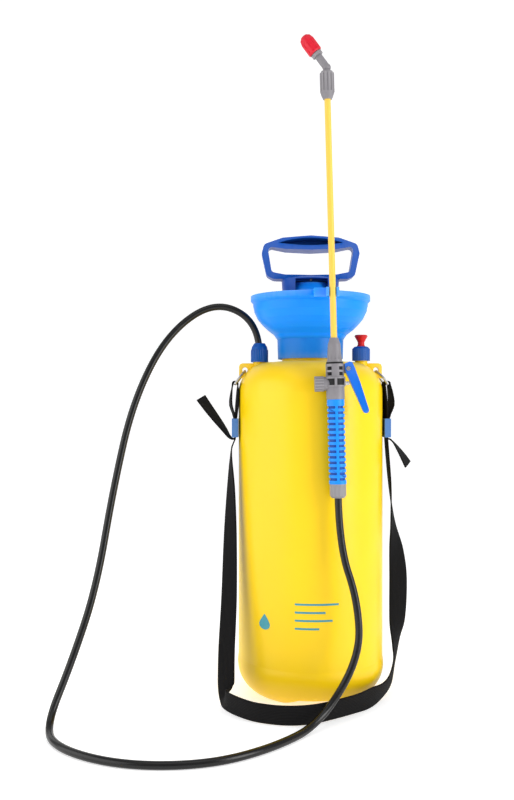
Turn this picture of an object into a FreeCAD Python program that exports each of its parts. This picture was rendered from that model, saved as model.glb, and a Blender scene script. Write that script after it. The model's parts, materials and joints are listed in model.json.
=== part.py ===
"""Hand-pumped compression sprayer, about 8 litres: tank, filling funnel, pump, relief valve, hose,
spray wand and shoulder strap.

Frame: origin on the floor at the centre of the tank's base, +Z up, +X to the side of the relief valve,
-Y to the side where the spray wand hangs. Every length is in millimetres.
"""
import FreeCAD
import Part
import math
import os

os.makedirs("parts", exist_ok=True)
V = FreeCAD.Vector

# ---------------------------------------------------------------- fits
GAP = 0.4            # clear air between pieces that never touch
RUNNING_FIT = 0.06   # radial play of a piece that slides or turns in another
CLOSE_FIT = 0.15     # radial play of a piece that is pushed or screwed in
BODY_GAP = 0.35      # clear air between pieces of different bodies

# ---------------------------------------------------------------- tank
TANK_RADIUS = 86.0
TANK_TOP = 390.0         # where the shoulder meets the neck
TANK_WALL = 3.0
SHOULDER_RADIUS = 36.0
BASE_RADIUS = TANK_RADIUS - 20.0   # where the rounded base meets the floor
BASE_CORNER_HEIGHT = 42.0
FOOT_WIDTH = 11.0
ARCH_HEIGHT = 8.0
ARCH_HALF_TOP = 17.0
ARCH_HALF_BOTTOM = 36.0
CENTRE_PAD_RADIUS = BASE_RADIUS - 36.0
NECK_BORE = 30.0
NECK_WALL = 4.0
NECK_HEIGHT = 22.0
NECK_RADIUS = NECK_BORE + NECK_WALL
NECK_TOP = TANK_TOP + NECK_HEIGHT
PORT_OFFSET = TANK_RADIUS - 25.0       # both small ports stand this far from the tank's axis
PORT_RADIUS = 7.6
PORT_BORE = 4.6
PORT_NUT_RADIUS = PORT_RADIUS + 2.9
PORT_TOP = TANK_TOP + 6.0
EAR_REACH = TANK_RADIUS - 0.5
EAR_THICKNESS = 8.0
EAR_BOTTOM = TANK_TOP - 19.0
EAR_TOP = TANK_TOP - 1.0
EAR_HOLE_X = TANK_RADIUS - 7.5
EAR_HOLE_Z = TANK_TOP - 9.0
EAR_HOLE_RADIUS = 3.2
EAR_CORNER = 4.0

# ---------------------------------------------------------------- funnel
FUNNEL_WALL = 2.2
FUNNEL_COLLAR_RADIUS = NECK_RADIUS + 5.0
FUNNEL_COLLAR_BOTTOM = TANK_TOP + 4.0
FUNNEL_LIP_RADIUS = NECK_RADIUS + 37.5
FUNNEL_TOP = NECK_TOP + 57.0
FUNNEL_LIP_HEIGHT = 6.0
FUNNEL_STEPS = [(5.6, 5.0), (9.8, 11.0), (17.6, 17.0), (23.6, 23.0), (29.0, 29.5), (33.2, 38.0), (34.8, 46.0)]
FUNNEL_RINGS = [(NECK_RADIUS + out, NECK_TOP + up) for out, up in FUNNEL_STEPS]
FUNNEL_FLOOR = 3.0
CLIP_HEIGHT = 9.5
CLIP_REACH = 20.0
CLIP_CORNER = 34.0       # the clip's arm meets the lip within this much of the middle
NECK_GASKET = 1.5

# ---------------------------------------------------------------- pump
BARREL_RADIUS = 22.0
CAP_FLANGE_RADIUS = NECK_RADIUS + 1.0
CAP_FLANGE_HEIGHT = 7.0
CAP_SKIRT_LENGTH = 18.0
CAP_DOME_RADIUS = NECK_BORE - 2.0
CAP_TOP_RADIUS = BARREL_RADIUS + 1.5
CAP_TOP = NECK_TOP + 72.0
CAP_SEAL_WIRE = 2.5
BARREL_WALL = 2.5
BARREL_BOTTOM = TANK_TOP - 240.0
GUIDE_LENGTH = 14.0
ROD_RADIUS = 5.0
STROKE = 200.0
PISTON_LENGTH = 16.0
CAGE_LENGTH = 12.0
LIFT_OUT = 380.0         # travel that clears the barrel from the neck

# ---------------------------------------------------------------- handle
SKIRT_TOP_RADIUS = CAP_FLANGE_RADIUS - 0.5
SKIRT_TOP = CAP_TOP + 5.0
SKIRT_BOTTOM_RADIUS = CAP_FLANGE_RADIUS - 3.5
SKIRT_BOTTOM = CAP_TOP - 44.0
HANDLE_TOP = CAP_TOP + 56.0
HANDLE_HALF_WIDTH = SKIRT_TOP_RADIUS + 24.0
HANDLE_HALF_DEPTH = 16.0
HANDLE_END_DEPTH = 8.0
HANDLE_SIDE_BAR = 7.0
HANDLE_WALL = 2.6
RECESS_HALF_WIDTH = HANDLE_HALF_WIDTH - 20.0
RECESS_DROP = 3.5
HANDLE_CORNER = 6.0
OPENING_CORNER = 4.5
WINDOW_HALF_WIDTH = BARREL_RADIUS - 3.0
WINDOW_BOTTOM = CAP_TOP - 14.0

# ---------------------------------------------------------------- hose
HOSE_RADIUS = 4.1
HOSE_BORE = 2.6
HOSE_START = PORT_TOP + 2.5
DIP_TUBE_RADIUS = HOSE_BORE + 1.4
DIP_TUBE_LOW = ARCH_HEIGHT + TANK_WALL + 13.0

# ---------------------------------------------------------------- relief valve
RELIEF_CAP_RADIUS = PORT_NUT_RADIUS
RELIEF_CAP_BOTTOM = PORT_TOP - 4.0
RELIEF_CAP_TOP = PORT_TOP + 13.0
RELIEF_LIFT = 2.5
RELIEF_STEM_RADIUS = 1.6
KNOB_NECK_RADIUS = 4.0
KNOB_TOP_RADIUS = 8.0
KNOB_TOP = RELIEF_CAP_TOP + 14.0

# ---------------------------------------------------------------- spray wand, from its hose nut up
WAND_FOOT = V(24.9, -TANK_RADIUS - 12.0, TANK_TOP - 152.0)
WAND_LEAN = 1.54         # degrees, top towards -X
HOSE_NUT_LENGTH = 13.2
HOSE_NUT_RADIUS = 8.5
GRIP_START = 15.4
GRIP_END = 107.8
GRIP_RADIUS = 9.5
GRIP_WALL = 2.4
GRIP_RIBS = 14
RIB_DEPTH = 1.2
RIB_GROOVE = 2.8
VALVE_TOP = 146.6
VALVE_RADIUS = 10.0
BAND_LOW = 121.6
BAND_HIGH = 132.2
BAND_RIM = 1.7
BAND_RISE = 1.3
SPINE_HALF_WIDTH = 1.4
NOTCH_ROWS = 2
NOTCH_PITCH = 6.0
STEM_HEIGHT = 125.0      # height of the valve's cross bore along the wand
LANCE_RADIUS = 3.5
SPIGOT_RADIUS = LANCE_RADIUS + 2.1   # screwed ends that the lance goes into
LANCE_NUT_LENGTH = 26.5
LANCE_NUT_RADIUS = SPIGOT_RADIUS + 2.4
LANCE_BORE = 2.3
LANCE_TOP = 460.0
NOZZLE_NUT_START = LANCE_TOP - 24.0
NOZZLE_NUT_END = LANCE_TOP + 4.5
NOZZLE_NUT_RADIUS = SPIGOT_RADIUS + 2.3
NOZZLE_TILT = 35.0       # degrees between the lance and the nozzle
ELBOW_HEIGHT = LANCE_TOP + 11.0
TIP_START = 20.0
TIP_LENGTH = 22.0
TIP_RADIUS = 7.8
ELBOW_TUBE_RADIUS = 4.1
TRIGGER_PIVOT_X = 14.5
TRIGGER_PIVOT_HEIGHT = 141.0
TRIGGER_TILT = 22.0
TRIGGER_REACH = 53.0
TRIGGER_THICKNESS = 7.0
TRIGGER_WIDTH = 9.0
TRIGGER_SWING = 12.0
LUG_THICKNESS = 3.6      # lug of the valve body that the lever's fork sits astride
PIN_RADIUS = 1.5

# ---------------------------------------------------------------- strap
WEB_WIDTH = 25.0
WEB_THICKNESS = 1.7
HOOK_WIRE = 1.5
HOOK_BEND = 1.7
HOOK_BAR_X = TANK_RADIUS + 4.0
HOOK_BAR_Z = TANK_TOP - 26.0
STRAP_Y = -8.0
BUCKLE_TOP = TANK_TOP - 67.0
BUCKLE_HEIGHT = 22.0
BUCKLE_THICKNESS = 7.4
BUCKLE_WIDTH = WEB_WIDTH + 6.0

FUNNEL_SEAT = NECK_TOP + NECK_GASKET
CAP_SEAT = FUNNEL_SEAT + FUNNEL_FLOOR
CAP_FLANGE_TOP = CAP_SEAT + 2 * CAP_SEAL_WIRE + CAP_FLANGE_HEIGHT


# ---------------------------------------------------------------- small tools
def save(name, shape):
    """Checks a finished piece and writes it as its own file."""
    if not shape.isValid():
        raise RuntimeError(name + " isn't a valid solid")
    shape.exportStep("parts/" + name + ".step")
    print(name, "solids", len(shape.Solids), "volume %.0f" % shape.Volume)
    return shape


def rod(radius, low, high, x=0.0, y=0.0):
    return Part.makeCylinder(radius, high - low, V(x, y, low))


def ring(outer, inner, low, high, x=0.0, y=0.0):
    return rod(outer, low, high, x, y).cut(rod(inner, low - 1, high + 1, x, y))


def box(low, high):
    return Part.makeBox(high[0] - low[0], high[1] - low[1], high[2] - low[2], V(*low))


def turned(points, x=0.0, y=0.0):
    """A solid of revolution about the upright line at x, y from (radius, height) corners."""
    corners = [V(x + r, y, z) for r, z in points]
    face = Part.Face(Part.makePolygon(corners + corners[:1]))
    return face.revolve(V(x, y, 0), V(0, 0, 1), 360)


def prism(points, low_y, high_y):
    """A solid with an outline in X and Z, between two depths."""
    corners = [V(x, low_y, z) for x, z in points]
    return Part.Face(Part.makePolygon(corners + corners[:1])).extrude(V(0, high_y - low_y, 0))


def arc(a, b, c):
    return Part.Arc(a, b, c).toShape()


def line(a, b):
    return Part.LineSegment(a, b).toShape()


def torus(radius, wire, height, x=0.0, y=0.0):
    return Part.makeTorus(radius, wire, V(x, y, height))


def coil_spring(radius, wire, low, high, turns):
    """A round-wire spring with its axis upright at the origin."""
    length = high - low - 2 * wire
    path = Part.makeHelix(length / turns, length, radius)
    section = Part.Wire(Part.makeCircle(wire, V(radius, 0, 0), V(0, 1, 0)))
    spring = Part.Wire(path).makePipeShell([section], True, True)
    spring.translate(V(0, 0, low + wire))
    return spring


def on_wand(shape):
    """Moves a piece from the wand's own upright axis to where the wand hangs."""
    placed = shape.copy()
    placed.rotate(V(0, 0, 0), V(0, 1, 0), -WAND_LEAN)
    placed.translate(WAND_FOOT)
    return placed


def sideways(shape, height):
    """Lays an upright piece along the wand's cross bore, its top to the side of the trigger."""
    laid = shape.copy()
    laid.rotate(V(0, 0, 0), V(0, 1, 0), 90)
    laid.translate(V(0, 0, height))
    return laid


def on_nozzle(shape):
    """Moves a piece from an upright axis to the tilted axis of the nozzle, in the wand's own frame."""
    placed = shape.copy()
    placed.rotate(V(0, 0, 0), V(0, 1, 0), -NOZZLE_TILT)
    placed.translate(V(0, 0, ELBOW_HEIGHT))
    return placed


# ---------------------------------------------------------------- tank and what is screwed into it
def tank_skin(inset, bottom):
    """The turned body of the tank, moved inwards by inset, down to the height bottom."""
    side = TANK_RADIUS - inset
    round_r = SHOULDER_RADIUS - inset
    centre = V(TANK_RADIUS - SHOULDER_RADIUS, 0, TANK_TOP - SHOULDER_RADIUS)
    diagonal = round_r * math.sqrt(0.5)
    floor_r = BASE_RADIUS - inset
    belly = V(floor_r + 0.72 * (side - floor_r), 0, bottom + 0.3 * (BASE_CORNER_HEIGHT - bottom))
    foot = V(floor_r, 0, bottom)
    hip = V(side, 0, BASE_CORNER_HEIGHT)
    chest = V(side, 0, centre.z)
    top = V(centre.x, 0, centre.z + round_r)
    edges = [
        line(V(0, 0, bottom), foot),
        arc(foot, belly, hip),
        line(hip, chest),
        arc(chest, centre + V(diagonal, 0, diagonal), top),
        line(top, V(0, 0, top.z)),
        line(V(0, 0, top.z), V(0, 0, bottom)),
    ]
    return Part.Face(Part.Wire(edges)).revolve(V(0, 0, 0), V(0, 0, 1), 360)


def make_tank():
    body = tank_skin(0.0, 0.0)
    for side in (-1, 1):
        corner = side * (EAR_REACH - EAR_CORNER)
        outline = [
            (side * PORT_OFFSET, EAR_BOTTOM), (side * PORT_OFFSET, EAR_TOP), (corner, EAR_TOP),
            (side * (EAR_REACH - 1.0), EAR_TOP - 1.2), (side * EAR_REACH, EAR_TOP - EAR_CORNER),
            (side * EAR_REACH, EAR_BOTTOM),
        ]
        body = body.fuse(prism(outline, -EAR_THICKNESS / 2, EAR_THICKNESS / 2))
        body = body.fuse(rod(PORT_RADIUS, TANK_TOP - SHOULDER_RADIUS, PORT_TOP, side * PORT_OFFSET))
    body = body.fuse(rod(NECK_RADIUS, TANK_TOP - SHOULDER_RADIUS, NECK_TOP))
    hollow = tank_skin(TANK_WALL, ARCH_HEIGHT + TANK_WALL)
    body = body.cut(hollow).cut(rod(NECK_BORE, TANK_TOP - SHOULDER_RADIUS, NECK_TOP + 1))
    foot_inner = BASE_RADIUS - FOOT_WIDTH
    body = body.cut(ring(foot_inner, CENTRE_PAD_RADIUS, -1, ARCH_HEIGHT))
    top = ARCH_HALF_TOP
    bottom = ARCH_HALF_BOTTOM
    arch = [(-bottom, -1), (-top, ARCH_HEIGHT), (top, ARCH_HEIGHT), (bottom, -1)]
    tunnel = prism(arch, CENTRE_PAD_RADIUS + GAP, TANK_RADIUS)
    for quarter in range(4):
        cut = tunnel.copy()
        cut.rotate(V(0, 0, 0), V(0, 0, 1), 90 * quarter)
        body = body.cut(cut)
    for side in (-1, 1):
        body = body.cut(rod(PORT_BORE, TANK_TOP - SHOULDER_RADIUS, PORT_TOP + 1, side * PORT_OFFSET))
        start = V(side * EAR_HOLE_X, -EAR_THICKNESS, EAR_HOLE_Z)
        body = body.cut(Part.makeCylinder(EAR_HOLE_RADIUS, 2 * EAR_THICKNESS, start, V(0, 1, 0)))
    return body.removeSplitter()


def make_outlet_fitting():
    """Nipple that carries the hose above the port and the dip tube below it."""
    x = -PORT_OFFSET
    flange = rod(PORT_RADIUS - GAP, PORT_TOP + 1.0, HOSE_START, x)
    stem = rod(PORT_BORE - CLOSE_FIT, PORT_TOP - 18, PORT_TOP + 1.2, x)
    barb = rod(HOSE_BORE - CLOSE_FIT, HOSE_START - 1, HOSE_START + 11, x)
    tail = rod(HOSE_BORE - CLOSE_FIT, PORT_TOP - 30, PORT_TOP - 17, x)
    return flange.fuse(stem).fuse(barb).fuse(tail).cut(rod(1.4, PORT_TOP - 31, HOSE_START + 12, x))


def make_outlet_gasket():
    return ring(PORT_RADIUS - GAP, PORT_BORE + 0.1, PORT_TOP, PORT_TOP + 1.0, -PORT_OFFSET)


def make_outlet_nut():
    """Union nut: screwed over the port, with the hose through its top."""
    inside = PORT_RADIUS + CLOSE_FIT
    outside = PORT_NUT_RADIUS
    throat = HOSE_RADIUS + CLOSE_FIT
    outline = [
        (throat, PORT_TOP + 17.0), (HOSE_RADIUS + 2.4, PORT_TOP + 17.0), (outside - 1.2, PORT_TOP + 12.5),
        (outside - 0.8, PORT_TOP + 10.0), (outside, PORT_TOP - 4.0), (outside, PORT_TOP - 5.5),
        (inside, PORT_TOP - 5.5), (inside, HOSE_START + 0.3), (throat, HOSE_START + 2.0),
    ]
    return turned(outline, -PORT_OFFSET)


def make_dip_tube():
    return ring(DIP_TUBE_RADIUS, HOSE_BORE, DIP_TUBE_LOW, PORT_TOP - 18, -PORT_OFFSET)


def make_dip_strainer():
    """Slotted cap that slips over the lower end of the dip tube."""
    low = DIP_TUBE_LOW - 10.0
    cup = rod(DIP_TUBE_RADIUS + 1.8, low, low + 20, -PORT_OFFSET)
    cup = cup.cut(rod(DIP_TUBE_RADIUS + CLOSE_FIT, low + 2, low + 21, -PORT_OFFSET))
    for turn in range(4):
        slot = box((-9, -0.8, low + 3), (9, 0.8, low + 8))
        slot.rotate(V(0, 0, 0), V(0, 0, 1), 45 * turn)
        slot.translate(V(-PORT_OFFSET, 0, 0))
        cup = cup.cut(slot)
    return cup


def make_neck_gasket():
    return ring(NECK_RADIUS, NECK_BORE + GAP, NECK_TOP, FUNNEL_SEAT)


def make_funnel():
    """Filling funnel: a collar over the neck, a floor ring on the gasket, a flared bowl and a wand clip."""
    inside = NECK_RADIUS + CLOSE_FIT
    outer = [(FUNNEL_COLLAR_RADIUS, FUNNEL_COLLAR_BOTTOM)] + FUNNEL_RINGS
    last = FUNNEL_RINGS[-1][0]
    lip_low = FUNNEL_TOP - FUNNEL_LIP_HEIGHT
    lip = [
        (last, lip_low - 2.7), (FUNNEL_LIP_RADIUS, lip_low),
        (FUNNEL_LIP_RADIUS, FUNNEL_TOP), (last - FUNNEL_WALL, FUNNEL_TOP),
    ]
    bowl = [(r - FUNNEL_WALL, z + 1.2) for r, z in reversed(FUNNEL_RINGS)]
    floor = [
        (FUNNEL_COLLAR_RADIUS - FUNNEL_WALL, CAP_SEAT), (NECK_BORE + GAP, CAP_SEAT),
        (NECK_BORE + GAP, FUNNEL_SEAT), (inside, FUNNEL_SEAT), (inside, FUNNEL_COLLAR_BOTTOM),
    ]
    shell = turned(outer + lip + bowl + floor)
    return shell.fuse(make_wand_clip()).removeSplitter()


def wand_axis_x(height):
    return WAND_FOOT.x - math.tan(math.radians(WAND_LEAN)) * (height - WAND_FOOT.z)


def make_wand_clip():
    """Arm on the funnel's lip with a front plate and two fingers that hold the lance between them."""
    low = FUNNEL_TOP - CLIP_HEIGHT - 0.5
    high = FUNNEL_TOP - 0.5
    centre_x = wand_axis_x((low + high) / 2)
    y = WAND_FOOT.y
    half = LANCE_RADIUS + BODY_GAP + 0.2
    side = half + 3.0
    left = centre_x - CLIP_REACH
    root = -math.sqrt(FUNNEL_LIP_RADIUS**2 - CLIP_CORNER**2)
    arm = box((left, y + half + 0.6, high - 4.0), (centre_x + side, root, high))
    plate = box((left, y + half, low), (centre_x + side, y + half + 3.0, high))
    fingers = box((centre_x - side, y - 3.0, low), (centre_x + side, y + half + 1, high))
    fingers = fingers.cut(box((centre_x - half, y - 4.0, low - 1), (centre_x + half, y + half, high + 1)))
    return arm.fuse(plate).fuse(fingers).cut(rod(FUNNEL_LIP_RADIUS - FUNNEL_WALL, low - 5, high + 5))


# ---------------------------------------------------------------- relief valve
def make_relief_body():
    x = PORT_OFFSET
    inside = PORT_RADIUS + CLOSE_FIT
    outline = [
        (inside, RELIEF_CAP_BOTTOM), (RELIEF_CAP_RADIUS, RELIEF_CAP_BOTTOM),
        (RELIEF_CAP_RADIUS, RELIEF_CAP_TOP - 2.5), (RELIEF_CAP_RADIUS - 2.5, RELIEF_CAP_TOP),
        (RELIEF_STEM_RADIUS + GAP, RELIEF_CAP_TOP), (RELIEF_STEM_RADIUS + GAP, RELIEF_CAP_TOP - 2.0),
        (6.0, RELIEF_CAP_TOP - 2.0), (6.0, PORT_TOP + 3.0), (2.4, PORT_TOP + 3.0), (2.4, PORT_TOP + 1.0),
        (inside, PORT_TOP + 1.0),
    ]
    return turned(outline, x)


def make_relief_gasket():
    return ring(PORT_RADIUS, PORT_BORE + 0.1, PORT_TOP, PORT_TOP + 1.0, PORT_OFFSET)


def make_relief_stem():
    seat = PORT_TOP + 3.0
    disc = rod(4.6, seat + 1.6, seat + 2.8, PORT_OFFSET)
    return rod(RELIEF_STEM_RADIUS, seat - 4, KNOB_TOP - 3, PORT_OFFSET).fuse(disc)


def make_relief_seal():
    seat = PORT_TOP + 3.0
    return ring(4.6, RELIEF_STEM_RADIUS + 0.05, seat + BODY_GAP, seat + 1.6, PORT_OFFSET)


def make_relief_knob():
    foot = RELIEF_CAP_TOP + BODY_GAP
    bore = RELIEF_STEM_RADIUS + 0.05
    outline = [
        (bore, foot), (KNOB_NECK_RADIUS + 1.2, foot), (KNOB_NECK_RADIUS, foot + 2.0), (KNOB_NECK_RADIUS, foot + 5.0),
        (KNOB_TOP_RADIUS - 1.2, KNOB_TOP - 3.6), (KNOB_TOP_RADIUS, KNOB_TOP - 1.6),
        (KNOB_TOP_RADIUS - 1.0, KNOB_TOP), (0, KNOB_TOP), (0, KNOB_TOP - 2.9), (bore, KNOB_TOP - 2.9),
    ]
    return turned(outline, PORT_OFFSET)


def make_relief_spring():
    low = PORT_TOP + 5.8 + 0.15
    spring = coil_spring(3.2, 0.35, low, RELIEF_CAP_TOP - 2.0 - 0.02, 3)
    spring.translate(V(PORT_OFFSET, 0, 0))
    return spring


# ---------------------------------------------------------------- pump
def make_pump_seal():
    return torus(NECK_BORE + 3.2, CAP_SEAL_WIRE - BODY_GAP, CAP_SEAT + CAP_SEAL_WIRE)


def make_pump_cap():
    """Cap that screws into the neck, with the pump barrel hanging in it."""
    bore = BARREL_RADIUS + CLOSE_FIT
    skirt = NECK_BORE - BODY_GAP
    flange_bottom = CAP_SEAT + 2 * CAP_SEAL_WIRE
    low = NECK_TOP - CAP_SKIRT_LENGTH
    outline = [
        (bore, low), (skirt, low), (skirt, flange_bottom), (CAP_FLANGE_RADIUS, flange_bottom),
        (CAP_FLANGE_RADIUS, CAP_FLANGE_TOP), (CAP_DOME_RADIUS, CAP_FLANGE_TOP), (CAP_DOME_RADIUS, CAP_TOP - 8),
        (CAP_TOP_RADIUS, CAP_TOP), (ROD_RADIUS + 2.0, CAP_TOP), (ROD_RADIUS + 2.0, CAP_TOP - 4), (bore, CAP_TOP - 4),
    ]
    return turned(outline)


def make_pump_barrel():
    return ring(BARREL_RADIUS, BARREL_RADIUS - BARREL_WALL, BARREL_BOTTOM, CAP_TOP - 4).fuse(make_barrel_end())


def make_barrel_end():
    end = rod(BARREL_RADIUS, BARREL_BOTTOM - 3, BARREL_BOTTOM)
    for turn in range(6):
        angle = math.radians(60 * turn)
        end = end.cut(rod(2.0, BARREL_BOTTOM - 4, BARREL_BOTTOM + 1, 9 * math.cos(angle), 9 * math.sin(angle)))
    return end.cut(rod(2.5, BARREL_BOTTOM - 4, BARREL_BOTTOM + 1))


def make_check_valve():
    """Rubber umbrella under the barrel's end that lets air out and keeps liquid from coming back."""
    disc = rod(13.0, BARREL_BOTTOM - 5.0, BARREL_BOTTOM - 3.0)
    stem = rod(2.3, BARREL_BOTTOM - 3.2, BARREL_BOTTOM + 0.4)
    return disc.fuse(stem).fuse(rod(3.6, BARREL_BOTTOM + 0.05, BARREL_BOTTOM + 2.0))


def make_valve_cage():
    """Slotted cup pushed over the barrel's end, round the check valve."""
    inside = BARREL_RADIUS + RUNNING_FIT
    low = BARREL_BOTTOM - 3 - CAGE_LENGTH
    cup = rod(inside + 2.0, low, BARREL_BOTTOM + 8).cut(rod(inside, low + 2, BARREL_BOTTOM + 9))
    for turn in range(3):
        slot = box((-40, -4, low + 2), (40, 4, BARREL_BOTTOM - 5))
        slot.rotate(V(0, 0, 0), V(0, 0, 1), 60 * turn)
        cup = cup.cut(slot)
    return cup.cut(rod(5.0, low - 1, low + 3))


def make_rod_guide():
    bore = BARREL_RADIUS - BARREL_WALL - CLOSE_FIT
    guide = rod(bore, CAP_TOP - 4 - GUIDE_LENGTH, CAP_TOP - 4.1)
    guide = guide.cut(rod(ROD_RADIUS + RUNNING_FIT, CAP_TOP - 40, CAP_TOP))
    for turn in range(4):
        angle = math.radians(45 + 90 * turn)
        guide = guide.cut(rod(1.5, CAP_TOP - 40, CAP_TOP, 12 * math.cos(angle), 12 * math.sin(angle)))
    return guide


# ---------------------------------------------------------------- piston and handle
PISTON_TOP = BARREL_BOTTOM + 22.0
ROD_TOP = SKIRT_TOP + 4.0


def make_piston_rod():
    shaft = rod(ROD_RADIUS, PISTON_TOP - PISTON_LENGTH + 4, ROD_TOP)
    hole = Part.makeCylinder(PIN_RADIUS + 0.05, 30, V(0, -15, SKIRT_TOP - 1), V(0, 1, 0))
    return shaft.cut(hole)


def make_piston():
    radius = BARREL_RADIUS - BARREL_WALL - RUNNING_FIT - 0.3
    body = rod(radius, PISTON_TOP - PISTON_LENGTH, PISTON_TOP)
    groove = ring(radius + 1, radius - 3.0, PISTON_TOP - 11, PISTON_TOP - 5)
    return body.cut(groove).cut(rod(ROD_RADIUS + 0.05, PISTON_TOP - PISTON_LENGTH + 4, PISTON_TOP + 1))


def make_piston_seal():
    """Cup seal in the piston's groove, its lip against the barrel."""
    outer = BARREL_RADIUS - BARREL_WALL - RUNNING_FIT
    inner = outer - 3.0 - 0.25
    low = PISTON_TOP - 10.9
    high = PISTON_TOP - 5.1
    return turned([(inner, low), (outer - 0.6, low), (outer, low + 2.4), (outer, high - 1.9),
                   (outer - 1.6, high), (inner, high)])


def grip_plan(inset):
    """Lens-shaped plan of the handle, deeper at the middle than at its ends."""
    half = HANDLE_HALF_WIDTH - inset
    end = HANDLE_END_DEPTH - inset
    middle = HANDLE_HALF_DEPTH - inset
    corners = [V(-half, -end, 0), V(half, -end, 0), V(half, end, 0), V(-half, end, 0)]
    edges = [
        arc(corners[0], V(0, -middle, 0), corners[1]), line(corners[1], corners[2]),
        arc(corners[2], V(0, middle, 0), corners[3]), line(corners[3], corners[0]),
    ]
    return Part.Face(Part.Wire(edges))


def handle_slab(half_points, radius):
    """Block with a symmetric front outline: points of the right half, top first, with rounded corners."""
    corners = [V(x, -40, z) for x, z in half_points]
    corners += [V(-x, -40, z) for x, z in reversed(half_points) if x > 0]
    return Part.Face(rounded_loop(corners, radius)).extrude(V(0, 80, 0))


def handle_recess():
    """Lens-shaped hollow in the front of the grip."""
    level = HANDLE_TOP - 8.0
    left = V(-RECESS_HALF_WIDTH, -40, level)
    right = V(RECESS_HALF_WIDTH, -40, level)
    top = arc(left, V(0, -40, HANDLE_TOP - HANDLE_WALL), right)
    bottom = arc(right, V(0, -40, level - RECESS_DROP), left)
    depth = 40 + HANDLE_HALF_DEPTH - 2 * HANDLE_WALL
    return Part.Face(Part.Wire([top, bottom])).extrude(V(0, depth, 0))


def make_pump_handle():
    """D-handle with a hollow grip, on a skirt that sits round the pump cap."""
    w = HANDLE_HALF_WIDTH
    inner = w - HANDLE_SIDE_BAR
    outer = [
        (0, HANDLE_TOP), (w - 25, HANDLE_TOP - 2.2), (w - 3, HANDLE_TOP - 9), (w, HANDLE_TOP - 20),
        (w - 6, SKIRT_TOP + 4), (w - 14, SKIRT_TOP), (0, SKIRT_TOP - 1),
    ]
    opening = [
        (0, HANDLE_TOP - 17), (w - 28, HANDLE_TOP - 15.7), (inner, HANDLE_TOP - 12), (inner - 5, SKIRT_TOP + 8.5),
        (w - 28, SKIRT_TOP + 5), (0, SKIRT_TOP + 4.2),
    ]
    frame = handle_slab(outer, HANDLE_CORNER).cut(handle_slab(opening, OPENING_CORNER))
    plan = grip_plan(0.0).extrude(V(0, 0, 200))
    plan.translate(V(0, 0, SKIRT_TOP - 20))
    frame = frame.common(plan)
    pocket = handle_recess()
    skirt = turned([
        (0, CAP_TOP + 2.0), (0, SKIRT_TOP + 4.0), (12, SKIRT_TOP + 4.0), (SKIRT_TOP_RADIUS, SKIRT_TOP),
        (SKIRT_BOTTOM_RADIUS, SKIRT_BOTTOM), (SKIRT_BOTTOM_RADIUS - HANDLE_WALL, SKIRT_BOTTOM),
        (SKIRT_TOP_RADIUS - HANDLE_WALL, SKIRT_TOP - 3), (12, CAP_TOP + 2.0),
    ])
    handle = frame.cut(pocket).fuse(skirt)
    window = box((-WINDOW_HALF_WIDTH, -60, WINDOW_BOTTOM), (WINDOW_HALF_WIDTH, -12, SKIRT_TOP - 1.5))
    handle = handle.cut(window)
    handle = handle.cut(rod(ROD_RADIUS + 0.05, SKIRT_BOTTOM, ROD_TOP + 0.1))
    hole = Part.makeCylinder(PIN_RADIUS + 0.05, 60, V(0, -30, SKIRT_TOP - 1), V(0, 1, 0))
    return handle.cut(hole).removeSplitter()


def make_handle_pin():
    return Part.makeCylinder(PIN_RADIUS, 22, V(0, -11, SKIRT_TOP - 1), V(0, 1, 0))


# ---------------------------------------------------------------- spray wand
def make_hose_nut():
    outline = [
        (HOSE_RADIUS + CLOSE_FIT, 0), (HOSE_NUT_RADIUS - 1.5, 0), (HOSE_NUT_RADIUS, 2.0),
        (HOSE_NUT_RADIUS, HOSE_NUT_LENGTH), (6.2, HOSE_NUT_LENGTH), (6.2, 6.0), (HOSE_RADIUS + CLOSE_FIT, 4.5),
    ]
    return turned(outline)


def make_hose_tail():
    """Flanged nipple clamped between the hose nut and the grip pipe."""
    flange = rod(6.0, 6.2, 8.2)
    return flange.fuse(rod(3.4, 8.0, 14.0)).fuse(rod(3.0, 0.6, 6.5)).cut(rod(1.5, 0, 15))


def make_grip_ring():
    return ring(HOSE_NUT_RADIUS + 0.6, 6.2, HOSE_NUT_LENGTH, GRIP_START)


def make_grip_pipe():
    return ring(6.0, 3.5, 8.2, GRIP_END)


def make_wand_strainer():
    """Fine tube filter inside the grip pipe."""
    return ring(3.3, 2.3, 30.0, 70.0).fuse(rod(3.3, 28.5, 30.2))


def make_grip():
    """Hollow grip with two rows of pads divided by a smooth spine."""
    body = ring(GRIP_RADIUS, 6.0 + CLOSE_FIT, GRIP_START, GRIP_END)
    pitch = (GRIP_END - GRIP_START - 8.0) / GRIP_RIBS
    for row in range(GRIP_RIBS):
        low = GRIP_START + 4.0 + row * pitch
        groove = ring(GRIP_RADIUS + 1, GRIP_RADIUS - RIB_DEPTH, low, low + RIB_GROOVE)
        body = body.cut(groove.cut(box((-SPINE_HALF_WIDTH, -20, 0), (SPINE_HALF_WIDTH, 20, 200))))
    return body


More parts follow.
